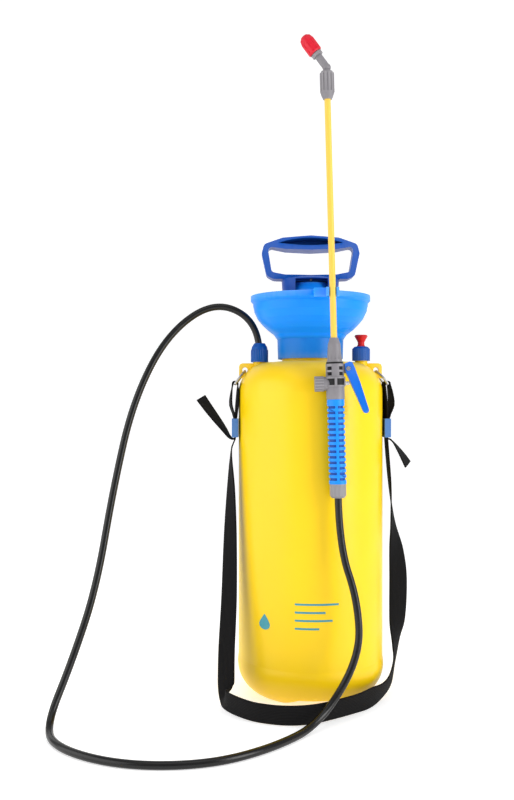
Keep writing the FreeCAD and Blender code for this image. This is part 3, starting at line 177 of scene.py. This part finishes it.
PLASTICS = {
    "funnel_blue": moulded("funnel_blue", (0.003, 0.255, 0.93), gloss=0.38, glow=0.4, depth=0.008,
                           shine=0.22),
    "handle_blue": moulded("handle_blue", (0.001, 0.070, 0.37), gloss=0.34, glow=0.05, edge=0.1, shine=0.15),
    "nut_blue": moulded("nut_blue", (0.002, 0.075, 0.34), gloss=0.34, edge=0.1, shine=0.18),
    "trigger_blue": moulded("trigger_blue", (0.002, 0.135, 0.64), gloss=0.34, glow=0.05, edge=0.1, shine=0.2),
    "buckle_blue": moulded("buckle_blue", (0.01, 0.15, 0.50), gloss=0.28, glow=0.2, shine=0.3),
    "knob_red": moulded("knob_red", (0.58, 0.006, 0.008), gloss=0.3, shine=0.25),
    "nozzle_red": moulded("nozzle_red", (0.60, 0.010, 0.028), gloss=0.36, glow=0.05, edge=0.1, shine=0.25),
    "valve_grey": moulded("valve_grey", (0.205, 0.195, 0.21), gloss=0.42, shine=0.35),
    "band_dark": moulded("band_dark", (0.012, 0.012, 0.013), gloss=0.5, edge=0.0, shine=0.2),
    "lance_yellow": moulded("lance_yellow", (0.80, 0.50, 0.008), gloss=0.3, glow=0.06, depth=0.002,
                            shine=0.25),
    "inner_plastic": moulded("inner_plastic", (0.70, 0.70, 0.66), gloss=0.4),
    "seal_rubber": moulded("seal_rubber", (0.012, 0.012, 0.012), gloss=0.6, edge=0.05),
}
print("plastics", len(PLASTICS))

# %% [markdown]
# ## The tank's polyethylene
# The tank is blown from yellow polyethylene. Its wall is a little cloudy and lets light in, the blowing
# leaves broad, soft waves in the skin, and the two halves of the mould leave a thin line up both sides,
# through the ears. The waves and the line are bump, because they are far too shallow to need any mesh.

# %% tank finish
def tank_finish():
    """Blow-moulded polyethylene with soft waves and a mould line in the plane of the ears."""
    material = moulded("tank_yellow", (0.95, 0.61, 0.002), cloud=0.03, gloss=0.36, peel=0.0, glow=0.25,
                       depth=0.006, shine=0.35)
    tree = material.node_tree
    principled = tree.nodes["Principled BSDF"]
    place = node(tree, "ShaderNodeTexCoord").outputs["Object"]
    waves = node(tree, "ShaderNodeTexNoise", {"Vector": place, "Scale": 22.0, "Detail": 1.5}).outputs["Fac"]
    across = node(tree, "ShaderNodeSeparateXYZ", {"Vector": place}).outputs["Y"]
    distance = node(tree, "ShaderNodeMath", {0: across}, operation="ABSOLUTE").outputs[0]
    seam = node(tree, "ShaderNodeMapRange", {"Value": distance, "From Max": 0.0005, "To Min": 1.0,
                                             "To Max": 0.0}).outputs["Result"]
    wave_bump = node(tree, "ShaderNodeBump", {"Height": waves, "Strength": 0.35, "Distance": 0.0012})
    seam_bump = node(tree, "ShaderNodeBump", {"Height": seam, "Strength": 0.6, "Distance": 0.0004,
                                              "Normal": wave_bump.outputs["Normal"]})
    tree.links.new(seam_bump.outputs["Normal"], principled.inputs["Normal"])
    return material


PLASTICS["tank_yellow"] = tank_finish()
print("tank finish nodes", len(PLASTICS["tank_yellow"].node_tree.nodes))

# %% [markdown]
# ## The funnel's collar
# The funnel is thin and lets light through, but its collar sits over the tank's neck, where it has
# something dark behind it, so the collar looks the deeper blue. That shade is painted into the colour. A
# second material would need a cut in the mesh; a mask by height does the same and leaves the frame's own
# piece as it is.

# %% funnel collar
COLLAR_TOP = 0.4175
funnel_tree = PLASTICS["funnel_blue"].node_tree
funnel_place = node(funnel_tree, "ShaderNodeTexCoord").outputs["Object"]
funnel_height = node(funnel_tree, "ShaderNodeSeparateXYZ", {"Vector": funnel_place}).outputs["Z"]
# Painted shade: below COLLAR_TOP the funnel's colour is darkened, standing for the dark neck behind it.
collar = node(funnel_tree, "ShaderNodeMapRange", {
    "Value": funnel_height, "From Min": COLLAR_TOP - 0.001, "From Max": COLLAR_TOP + 0.003,
    "To Min": 1.0, "To Max": 0.0}).outputs["Result"]
shade_where(PLASTICS["funnel_blue"], collar, (1.0, 0.72, 0.66))
print("collar up to", COLLAR_TOP)

# %% [markdown]
# ## The grip's grooves
# The grip is one moulding, but its pads catch the light and its grooves lie in shade, which is painted into
# the colour here. A texture mask would need a map; the distance from the wand's axis tells the two apart,
# so the painted shade follows the depth of each groove.

# %% grip finish
WAND_LEAN = math.radians(1.54)
WAND_FOOT = (0.0249, -0.098, 0.238)


def off_wand_axis(tree):
    """Distance of each point from the wand's axis, in metres."""
    place = node(tree, "ShaderNodeTexCoord").outputs["Object"]
    arm = node(tree, "ShaderNodeVectorMath", {0: place, 1: WAND_FOOT}, operation="SUBTRACT").outputs[0]
    axis = (-math.sin(WAND_LEAN), 0.0, math.cos(WAND_LEAN))
    off_axis = node(tree, "ShaderNodeVectorMath", {0: arm, 1: axis}, operation="CROSS_PRODUCT").outputs[0]
    return node(tree, "ShaderNodeVectorMath", {0: off_axis}, operation="LENGTH").outputs["Value"]


def grip_finish():
    """Ribbed grip: blue pads and grooves in painted shade, by distance from the wand's axis."""
    material = moulded("grip_blue", (0.02, 0.27, 0.85), gloss=0.4, glow=0.05, shine=0.25)
    tree = material.node_tree
    principled = tree.nodes["Principled BSDF"]
    radius = off_wand_axis(tree)
    # Painted shade: the colour darkens in the grooves, where the surface lies nearer the wand's axis.
    depth = node(tree, "ShaderNodeMapRange", {"Value": radius, "From Min": 0.0084, "From Max": 0.0094})
    tree.links.new(blended(tree, depth.outputs["Result"], (0.003, 0.07, 0.36), (0.008, 0.25, 0.88)),
                   principled.inputs["Base Color"])
    return material


PLASTICS["grip_blue"] = grip_finish()
print("grip leans", round(math.degrees(WAND_LEAN), 2), "degrees")

# %% [markdown]
# ## The valve body's recesses
# The valve body has square recesses and a collar with windows. The same distance from the axis finds their
# floors, which are darkened with painted shade.

# %% valve body finish
valve_body_finish = moulded("valve_body_grey", (0.205, 0.195, 0.21), gloss=0.42, shine=0.35)
# Painted shade: the recess floors, nearer the wand's axis, are darkened down to 12% of the grey.
valve_recess_shade = node(valve_body_finish.node_tree, "ShaderNodeMapRange", {
    "Value": off_wand_axis(valve_body_finish.node_tree), "From Min": 0.0086, "From Max": 0.0096,
    "To Min": 1.0, "To Max": 0.0})
shade_where(valve_body_finish, valve_recess_shade.outputs["Result"], (0.12, 0.12, 0.13))
print("valve body nodes", len(valve_body_finish.node_tree.nodes))

# %% [markdown]
# ## Drawn wire
# The hooks, pins and springs are drawn steel wire: bright, with fine streaks from the die. A fine noise
# mixes two greys and drives the gloss as well, so that the streaks show in both.

# %% wire finish
def wire_finish(name, shade, gloss):
    """Bright drawn wire with fine streaks."""
    material, tree, principled, place = start_material(name, metallic=1.0)
    noise = node(tree, "ShaderNodeTexNoise", {"Vector": place, "Scale": 700.0, "Detail": 3.0})
    streaks = noise.outputs["Fac"]
    light = [min(1.0, c * 1.25) for c in shade]
    tree.links.new(blended(tree, streaks, shade, light), principled.inputs["Base Color"])
    rough = node(tree, "ShaderNodeMapRange", {"Value": streaks, "To Min": gloss * 0.7, "To Max": gloss * 1.3})
    tree.links.new(rough.outputs["Result"], principled.inputs["Roughness"])
    add_bump(tree, principled, streaks, 0.15, 0.0002)
    return material


PLASTICS["hook_steel"] = wire_finish("hook_steel", (0.42, 0.42, 0.43), 0.28)
PLASTICS["spring_steel"] = wire_finish("spring_steel", (0.35, 0.35, 0.36), 0.35)
print("finishes", len(PLASTICS))

# %% [markdown]
# ## The studio
# Two big softboxes, one at each side and a little in front, draw the long pale bands down the tank. The
# left one is the larger, so that the strap's shadow on the tank stays soft. A light above fills the funnel.

# %% lights
world = bpy.data.worlds.new("studio")
world.use_nodes = True
world.node_tree.nodes["Background"].inputs["Color"].default_value = (1, 1, 1, 1)
world.node_tree.nodes["Background"].inputs["Strength"].default_value = 0.46
bpy.context.scene.world = world


def softbox(name, place, aim, width, height, watts):
    """A rectangular studio light that points at a place."""
    lamp = bpy.data.lights.new(name, "AREA")
    lamp.shape = "RECTANGLE"
    lamp.size = width
    lamp.size_y = height
    lamp.energy = watts
    holder = bpy.data.objects.new(name, lamp)
    holder.location = place
    holder.rotation_euler = (Vector(aim) - Vector(place)).to_track_quat("-Z", "Y").to_euler()
    bpy.context.scene.collection.objects.link(holder)
    return holder


MIDDLE = (0, 0, 0.3)
softbox("left_softbox", (-1.45, -0.62, 0.60), MIDDLE, 1.90, 1.6, 18)
softbox("right_softbox", (1.20, -0.85, 0.60), MIDDLE, 0.60, 1.2, 14)
softbox("top_softbox", (0, -0.5, 1.8), MIDDLE, 1.4, 1.2, 5)
print("softboxes", len(bpy.data.lights))

# %% [markdown]
# ## The backdrop
# A studio floor is one long sheet that curves up into a wall far behind, so that no horizon shows. A flat
# floor and a flat wall would meet in a visible corner, so the sheet's outline has a quarter circle between
# them. It glows a little, so that it stays white.

# %% backdrop
def sweep_outline(deep, tall, bend):
    """Depth and height of a floor that bends up into a wall."""
    points = [(-deep, 0.0), (deep - bend, 0.0)]
    for step in range(1, 13):
        angle = math.radians(90 * step / 12)
        points.append((deep - bend + bend * math.sin(angle), bend - bend * math.cos(angle)))
    return points + [(deep, tall)]


SWEEP_HALF_WIDTH = 6
outline = sweep_outline(5.0, 6.0, 2.0)
corners = [(x, y, z) for y, z in outline for x in (-SWEEP_HALF_WIDTH, SWEEP_HALF_WIDTH)]
faces = [(2 * i, 2 * i + 1, 2 * i + 3, 2 * i + 2) for i in range(len(outline) - 1)]
paper, tree, principled, place = start_material("studio_paper", roughness=0.8, emission_strength=0.46)
principled.inputs["Emission Color"].default_value = (1, 1, 1, 1)
fibres = node(tree, "ShaderNodeTexNoise", {"Vector": place, "Scale": 300.0, "Detail": 4.0}).outputs["Fac"]
tree.links.new(blended(tree, fibres, (0.86, 0.86, 0.86), (0.93, 0.93, 0.93)), principled.inputs["Base Color"])
sweep_mesh = bpy.data.meshes.new("sweep")
sweep_mesh.from_pydata(corners, [], faces)
sweep_mesh.materials.append(paper)
for face in sweep_mesh.polygons:
    face.use_smooth = True
sweep = bpy.data.objects.new("sweep", sweep_mesh)
bpy.context.scene.collection.objects.link(sweep)
print("backdrop faces", len(faces))

# %% [markdown]
# ## The hose
# A sprayer's hose is soft black PVC. It leaves the outlet nut straight up, falls over to the left under its
# own weight, lies on the floor in one wide curve and climbs into the foot of the wand. It could be hung by
# a physics run, but its points are listed and a smooth spline runs inside them, which keeps its
# ends exact.

# %% hose
HOSE_DIAMETER = 8.2 * MM
FLOOR = 4.1
HOSE_ROUTE = [
    (-61, 0, 398.5), (-61, 0, 437), (-112, -10, 464), (-168, -27, 424), (-206, -48, 345), (-226, -68, 245),
    (-240, -96, 140), (-262, -118, 66), (-284, -150, FLOOR), (-258, -207, FLOOR), (-190, -247, FLOOR),
    (-110, -245, FLOOR), (-48, -203, FLOOR), (2, -138, FLOOR), (47, -115, 68), (45, -109, 128),
    (26.4, -98, 184), (24.9, -98, 238),
]


def smooth_curve(name, points, bevel):
    """A NURBS curve through given control points, round in section."""
    data = bpy.data.curves.new(name, "CURVE")
    data.dimensions = "3D"
    data.bevel_depth = bevel
    data.bevel_resolution = 6
    data.use_fill_caps = bevel > 0
    spline = data.splines.new("NURBS")
    spline.points.add(len(points) - 1)
    for point, place in zip(spline.points, points):
        point.co = (*[c * MM for c in place], 1)
    spline.order_u = 3
    spline.use_endpoint_u = True
    spline.resolution_u = 14
    curve = bpy.data.objects.new(name, data)
    bpy.context.scene.collection.objects.link(curve)
    return curve


def as_mesh(curve, name):
    """The curve's evaluated shape as a plain mesh object, in place of the curve."""
    bpy.context.view_layer.update()
    depsgraph = bpy.context.evaluated_depsgraph_get()
    mesh = bpy.data.meshes.new_from_object(curve.evaluated_get(depsgraph))
    bpy.data.objects.remove(curve)
    made = bpy.data.objects.new(name, mesh)
    bpy.context.scene.collection.objects.link(made)
    return made


def spline_line(points):
    """Places along the smooth line of a route, read from its spline."""
    line = as_mesh(smooth_curve("line", points, 0.0), "line")
    places = [v.co.copy() for v in line.data.vertices]
    bpy.data.objects.remove(line)
    return places


hose_line = spline_line(HOSE_ROUTE)
hose = as_mesh(smooth_curve("hose_shape", HOSE_ROUTE, HOSE_DIAMETER / 2), "hose_tube")
material, tree, principled, place = start_material("hose_black", specular_ior_level=0.35)
scuffs = node(tree, "ShaderNodeTexNoise", {"Vector": place, "Scale": 60.0, "Detail": 6.0}).outputs["Fac"]
worn_black = blended(tree, scuffs, (0.002, 0.002, 0.0022), (0.006, 0.006, 0.0065))
tree.links.new(worn_black, principled.inputs["Base Color"])
rough = node(tree, "ShaderNodeMapRange", {"Value": scuffs, "To Min": 0.16, "To Max": 0.34})
tree.links.new(rough.outputs["Result"], principled.inputs["Roughness"])
add_bump(tree, principled, scuffs, 0.12, 0.0004)
hose.data.materials.clear()
hose.data.materials.append(material)
for face in hose.data.polygons:
    face.use_smooth = True
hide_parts("hose")
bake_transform(hose)

# %% [markdown]
# ## The shoulder strap
# The strap is 25 mm polypropylene webbing, 1.6 mm thick. Each end goes round a wire hook, comes back down
# through a buckle and ends in a loose tail. A ribbon like this is easiest to build from cross lines: two
# edge points for each station, a smooth curve through the stations, and a UV map in metres, so that the
# weave keeps its size.

# %% ribbon maker
WEB_WIDTH = 25.0
WEB_THICKNESS = 1.6
ACROSS = 8


def through(points, steps):
    """A smooth line through every point, with the given steps between two of them."""
    padded = [points[0] * 2 - points[1]] + points + [points[-1] * 2 - points[-2]]
    line = []
    for a, b, c, d in zip(padded, padded[1:], padded[2:], padded[3:]):
        for step in range(steps):
            t = step / steps
            line.append(0.5 * (2 * b + (c - a) * t + (2 * a - 5 * b + 4 * c - d) * t**2
                               + (3 * b - a - 3 * c + d) * t**3))
    return line + [points[-1]]


def add_ribbon(bm, stations, steps):
    """Adds one strip of webbing to the mesh and returns its length in metres."""
    uv = bm.loops.layers.uv.verify()
    left = through([Vector(a) * MM for a, b in stations], steps)
    right = through([Vector(b) * MM for a, b in stations], steps)
    rows = []
    along = [0.0]
    for index, (a, b) in enumerate(zip(left, right)):
        middle = (a + b) / 2
        across = (b - a).normalized() * WEB_WIDTH * MM
        rows.append([bm.verts.new(middle + across * (k / ACROSS - 0.5)) for k in range(ACROSS + 1)])
        if index:
            along.append(along[-1] + (middle - last).length)
        last = middle
    for i, (row, following) in enumerate(zip(rows, rows[1:])):
        for k in range(ACROSS):
            face = bm.faces.new((row[k], row[k + 1], following[k + 1], following[k]))
            face.smooth = True
            places = ((k, i), (k + 1, i), (k + 1, i + 1), (k, i + 1))
            for loop, (column, station) in zip(face.loops, places):
                loop[uv].uv = (column / ACROSS * WEB_WIDTH * MM, along[station])
    return along[-1]


def level_edges(x, y, z, angle):
    """Two edge points of webbing whose width lies level, at an angle from +X towards -Y."""
    across = Vector((math.cos(math.radians(angle)), -math.sin(math.radians(angle)), 0)) * (WEB_WIDTH / 2)
    return Vector((x, y, z)) - across, Vector((x, y, z)) + across


print("ribbon columns", ACROSS)

# %% [markdown]
# The long span hangs from the left buckle, turns to face the front, lies on its edge along the floor in
# front of the tank, leaning a little forward, and climbs to the right buckle. Hanging stations give the
# middle, a height and the angle of the width; stations on the floor give both edges.

# %% strap span
STRAP_Y = -8
BAR_X = 90.0
BAR_Z = 364
BUCKLE_LOW = 301
LOW_EDGE = 0.9
HIGH_EDGE = 24.0
left_side = [(-BAR_X, STRAP_Y, 321, 90), (-BAR_X, STRAP_Y, 300, 90), (-94.5, -12, 284, 88),
             (-94.6, -22, 240, 69), (-95.2, -33, 184, 54), (-96.2, -46, 118, 46), (-98.6, -58, 62, 43),
             (-99.0, -64, 30, 42)]
on_floor = [((-108, -57), (-90.6, -73.5)), ((-95, -88), (-98, -92)), ((-72, -115), (-74, -123)),
            ((-50, -127), (-51, -136)), ((-28, -131), (-28, -140)), ((-6, -127), (-6, -136)),
            ((14, -115), (16, -124)), ((42, -94), (46, -101)), ((62, -75), (64, -80))]
rising = [((80, -44, 1.5), (79, -59, 23.5)), ((94, -18, 9), (90, -38, 27)), ((101, -2, 31), (97, -22, 40))]
right_side = [(101.0, -12, 60, 118), (102.5, -12, 82, 142), (103.5, -12, 110, 151), (103.5, -12, 140, 150),
              (101.5, -11, 168, 136), (97.5, -10, 200, 108), (94.2, -9, 245, 92), (BAR_X, STRAP_Y, 300, 90),
              (BAR_X, STRAP_Y, 321, 90)]
span = [level_edges(*station) for station in left_side]
span += [(Vector((*low, LOW_EDGE)), Vector((*high, HIGH_EDGE))) for low, high in on_floor]
span += [(Vector(a), Vector(b)) for a, b in rising]
span += [level_edges(*station) for station in right_side]
print("span stations", len(span))

# %% [markdown]
# At each end the webbing comes up through the buckle, goes round the hook's bar and comes back down, and
# its loose end stands away from the buckle. These parts run in one upright plane, so a list of places and a
# twist is enough.

# %% strap ends
def flat_path(side, points, twist=()):
    """Stations of webbing that runs in X and Z, mirrored to a side, with a twist in degrees at each point."""
    stations = []
    places = [Vector((side * x, STRAP_Y, z)) for x, z in points]
    for index, place in enumerate(places):
        heading = places[min(index + 1, len(places) - 1)] - places[max(index - 1, 0)]
        turn = Matrix.Rotation(math.radians(twist[index] if twist else 0), 3, heading.normalized())
        across = turn @ Vector((0, WEB_WIDTH / 2, 0))
        stations.append((place - across, place + across))
    return stations


LOOP_RADIUS = 3.1


def loop_points(bow):
    """Inner leg up from the buckle, round the hook's bar, and a bowed outer leg back down."""
    turns = [math.radians(angle) for angle in range(190, -20, -25)]
    bar = [(BAR_X + LOOP_RADIUS * math.cos(turn), BAR_Z + LOOP_RADIUS * math.sin(turn)) for turn in turns]
    inner = [(BAR_X - 0.9, BUCKLE_LOW), (BAR_X - 0.9, 323), (BAR_X - 2.2, 340), (BAR_X - 3.0, 356)]
    outer = [(BAR_X + 3.2 + bow * 0.6, 352), (BAR_X + 2.6 + bow, 339), (BAR_X + 0.9, 323.5),
             (BAR_X + 0.9, BUCKLE_LOW)]
    return inner + bar + outer


LOOP_TWIST = (0, 5, 8, 5) + (0,) * 9 + (-5, -8, -5, 0)
left_tail = [(90.0, 299.4), (93.4, 298.8), (97.5, 302.0), (103.0, 310.0), (112.0, 322.0), (121.0, 334.0),
             (131.0, 348.0)]
right_tail = [(90.0, 299.4), (93.6, 298.6), (98.0, 295.0), (104.0, 287.0), (110.0, 278.0), (116.0, 268.0)]

strap_mesh = bmesh.new()
strap_length = add_ribbon(strap_mesh, span, 8)
strap_length += add_ribbon(strap_mesh, flat_path(-1, loop_points(2.6), LOOP_TWIST), 3)
strap_length += add_ribbon(strap_mesh, flat_path(1, loop_points(3.2), LOOP_TWIST), 3)
strap_length += add_ribbon(strap_mesh, flat_path(-1, left_tail, (0, 0, -4, -10, -16, -20, -23)), 6)
strap_length += add_ribbon(strap_mesh, flat_path(1, right_tail, (0, 0, 6, 13, 20, 26)), 6)
strap_data = bpy.data.meshes.new("shoulder_strap_webbing")
strap_mesh.to_mesh(strap_data)
strap = bpy.data.objects.new("shoulder_strap_webbing", strap_data)
bpy.context.scene.collection.objects.link(strap)
solidify = strap.modifiers.new("thickness", "SOLIDIFY")
solidify.thickness = WEB_THICKNESS * MM
solidify.offset = 0
print("strap length %.3f m" % strap_length)

# %% [markdown]
# Webbing is woven in narrow ribs along its length, crossed by the weft. Threads modelled one by one would be
# far too many, so two waves read from the UV map in metres give the ribs and the weft their true size.

# %% webbing finish
def webbing_finish():
    """Black polypropylene webbing: lengthwise ribs and weft, from a UV map in metres."""
    material, tree, principled, place = start_material("webbing_black", roughness=0.8,
                                                       specular_ior_level=0.12)
    flat = node(tree, "ShaderNodeUVMap").outputs["UV"]
    axes = node(tree, "ShaderNodeSeparateXYZ", {"Vector": flat})

    def ripple(value, pitch):
        turns = node(tree, "ShaderNodeMath", {0: value, 1: 2 * math.pi / pitch}, operation="MULTIPLY")
        return node(tree, "ShaderNodeMath", {0: turns.outputs[0]}, operation="SINE").outputs[0]

    ribs = ripple(axes.outputs["X"], 0.0020)
    weft = ripple(axes.outputs["Y"], 0.0014)
    crossed = node(tree, "ShaderNodeMath", {0: ribs, 1: weft}, operation="MULTIPLY").outputs[0]
    woven = node(tree, "ShaderNodeMath", {0: crossed, 1: ribs}, operation="ADD").outputs[0]
    shade = node(tree, "ShaderNodeMapRange", {"Value": woven, "From Min": -1.5, "From Max": 1.5})
    tree.links.new(blended(tree, shade.outputs["Result"], (0.0012, 0.0011, 0.0012), (0.009, 0.0085, 0.009)),
                   principled.inputs["Base Color"])
    add_bump(tree, principled, woven, 0.55, 0.0004)
    return material


strap.data.materials.append(webbing_finish())
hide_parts("shoulder_strap")
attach(strap, "tank")

# %% [markdown]
# ## Finger ribs on the nuts
# The outlet nut, the relief cap and the wand's hose nut have upright ribs for the fingers. They could be
# modelled one by one, but they repeat round an axis, so a small node tree makes them: a circle of points,
# one slim rib on each, and a move to the nut's axis.

# %% rib tree
def rib_tree():
    """Geometry nodes that stand slim ribs round an axis."""
    tree = bpy.data.node_groups.new("ribs_round_an_axis", "GeometryNodeTree")
    face = tree.interface
    for label, kind in (("Count", "NodeSocketInt"), ("Radius", "NodeSocketFloat"),
                        ("Rib Radius", "NodeSocketFloat"), ("Height", "NodeSocketFloat"),
                        ("Foot", "NodeSocketVector"), ("Lean", "NodeSocketVector"),
                        ("Material", "NodeSocketMaterial")):
        face.new_socket(label, in_out="INPUT", socket_type=kind)
    face.new_socket("Geometry", in_out="OUTPUT", socket_type="NodeSocketGeometry")
    given = tree.nodes.new("NodeGroupInput").outputs
    circle = node(tree, "GeometryNodeMeshCircle", {"Vertices": given["Count"], "Radius": given["Radius"]})
    rib = node(tree, "GeometryNodeMeshCylinder", {"Vertices": 10, "Radius": given["Rib Radius"],
                                                  "Depth": given["Height"]})
    ribs = node(tree, "GeometryNodeInstanceOnPoints", {"Points": circle.outputs["Mesh"],
                                                       "Instance": rib.outputs["Mesh"]})
    placed = node(tree, "GeometryNodeTransform", {"Geometry": ribs.outputs["Instances"],
                                                  "Translation": given["Foot"], "Rotation": given["Lean"]})
    real = node(tree, "GeometryNodeRealizeInstances", {"Geometry": placed.outputs["Geometry"]})
    coloured = node(tree, "GeometryNodeSetMaterial", {"Geometry": real.outputs["Geometry"],
                                                      "Material": given["Material"]})
    out = tree.nodes.new("NodeGroupOutput")
    tree.links.new(coloured.outputs["Geometry"], out.inputs["Geometry"])
    return tree


RIBS = rib_tree()


def made_by(tree, name, values):
    """Runs a node tree on an empty mesh and returns what it makes as a plain mesh object."""
    holder = bpy.data.objects.new("holder", bpy.data.meshes.new("holder"))
    bpy.context.scene.collection.objects.link(holder)
    modifier = holder.modifiers.new("nodes", "NODES")
    modifier.node_group = tree
    sockets = {item.name: item.identifier for item in tree.interface.items_tree if item.in_out == "INPUT"}
    for label, value in values.items():
        modifier[sockets[label]] = value
    bpy.context.view_layer.update()
    mesh = bpy.data.meshes.new_from_object(holder.evaluated_get(bpy.context.evaluated_depsgraph_get()))
    bpy.data.objects.remove(holder)
    made = bpy.data.objects.new(name, mesh)
    bpy.context.scene.collection.objects.link(made)
    return made


def finger_ribs(name, body, slot, count, radius, rib, low, high, foot, lean=0.0):
    """Ribs on a nut, between two heights along its axis."""
    middle = Vector(foot) + Vector((-math.sin(lean), 0, math.cos(lean))) * (low + high) / 2 * MM
    made = made_by(RIBS, name, {
        "Count": count, "Radius": radius * MM, "Rib Radius": rib * MM, "Height": (high - low) * MM,
        "Foot": tuple(middle), "Lean": (0.0, -lean, 0.0), "Material": PLASTICS[slot],
    })
    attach(made, body)
    print(name, "ribs", count, "faces", len(made.data.polygons))


finger_ribs("outlet_nut_ribs", "tank", "nut_blue", 22, 9.85, 0.6, 391.5, 405.0, (-0.061, 0, 0))
finger_ribs("relief_cap_ribs", "tank", "nut_blue", 22, 10.15, 0.62, 392.6, 406.0, (0.061, 0, 0))
finger_ribs("hose_nut_ribs", "wand", "valve_grey", 14, 8.0, 0.95, 2.4, 12.6, WAND_FOOT, WAND_LEAN)

# %% [markdown]
# ## The level marks
# Low on the front the tank carries a small print in blue: here a drop, for the liquid, and a short scale of
# level marks. A print could be part of the tank's material, but thin patches on the round wall keep their
# edges sharp.

# %% level marks
TANK_RADIUS = 86.0


def on_wall(x, z, lift=0.12):
    """A point on the front of the tank's wall, in metres."""
    radius = TANK_RADIUS + lift
    return Vector((x, -math.sqrt(radius**2 - x**2), z)) * MM


def add_patch(bm, slices):
    """A patch from slices, left to right, each with its place and its two heights."""
    rows = [[bm.verts.new(on_wall(x, z)) for z in heights] for x, heights in slices]
    for one, other in zip(rows, rows[1:]):
        bm.faces.new((one[0], other[0], other[1], one[1]))


def drop_outline(x0, z0, size, steps=24):
    """Left-to-right slices of a drop: round below and pointed above."""
    slices = []
    for step in range(steps + 1):
        t = -1 + 2 * step / steps
        x = x0 + t * size * 0.98
        low = z0 - math.sqrt(max(0.0, 1 - t * t)) * size
        high = z0 + (1 - abs(t)) ** 0.8 * size * 1.9 + 0.02
        slices.append((x, (low, high)))
    return slices


marks = bmesh.new()
add_patch(marks, drop_outline(-55.5, 92.0, 6.2))
MARKS_LEFT = -22
MARK_TOP = 118.0
MARK_PITCH = 9.0
MARK_HALF_HEIGHT = 1.1
for row, right in enumerate((27, 12, 20, 5)):
    z = MARK_TOP - MARK_PITCH * row
    columns = [MARKS_LEFT + (right - MARKS_LEFT) * k / 12 for k in range(13)]
    add_patch(marks, [(x, (z - MARK_HALF_HEIGHT, z + MARK_HALF_HEIGHT)) for x in columns])
marks_data = bpy.data.meshes.new("level_marks")
marks.to_mesh(marks_data)
level_marks = bpy.data.objects.new("level_marks", marks_data)
bpy.context.scene.collection.objects.link(level_marks)
ink, tree, principled, place = start_material("print_blue", roughness=0.4)
edge_highlight_and_ink_wear = node(tree, "ShaderNodeTexNoise", {"Vector": place, "Scale": 420.0, "Detail": 4.0}).outputs["Fac"]
tree.links.new(blended(tree, edge_highlight_and_ink_wear, (0.02, 0.22, 0.30), (0.05, 0.34, 0.40)), principled.inputs["Base Color"])
add_bump(tree, principled, edge_highlight_and_ink_wear, 0.1, 0.0002)
level_marks.data.materials.append(ink)
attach(level_marks, "tank")
print("level marks", len(level_marks.data.polygons))

# %% [markdown]
# ## Finishes of the frame's own pieces
# The pieces that come with the frame keep their shape. Each takes the finish of its own material slot, and
# the valve body its own finish, with painted shade in its recesses.

# %% finishes of the frame's pieces
SLOT_OF = {entry["node"]: entry["material_slot"] for entry in frame["record"]["subparts"]}
finished = 0
for name, piece in frame["nodes"].items():
    finish = valve_body_finish if name == "valve_body" else PLASTICS.get(SLOT_OF.get(name))
    if finish:
        piece.data.materials.clear()
        piece.data.materials.append(finish)
        finished += 1
print("finished pieces", finished)
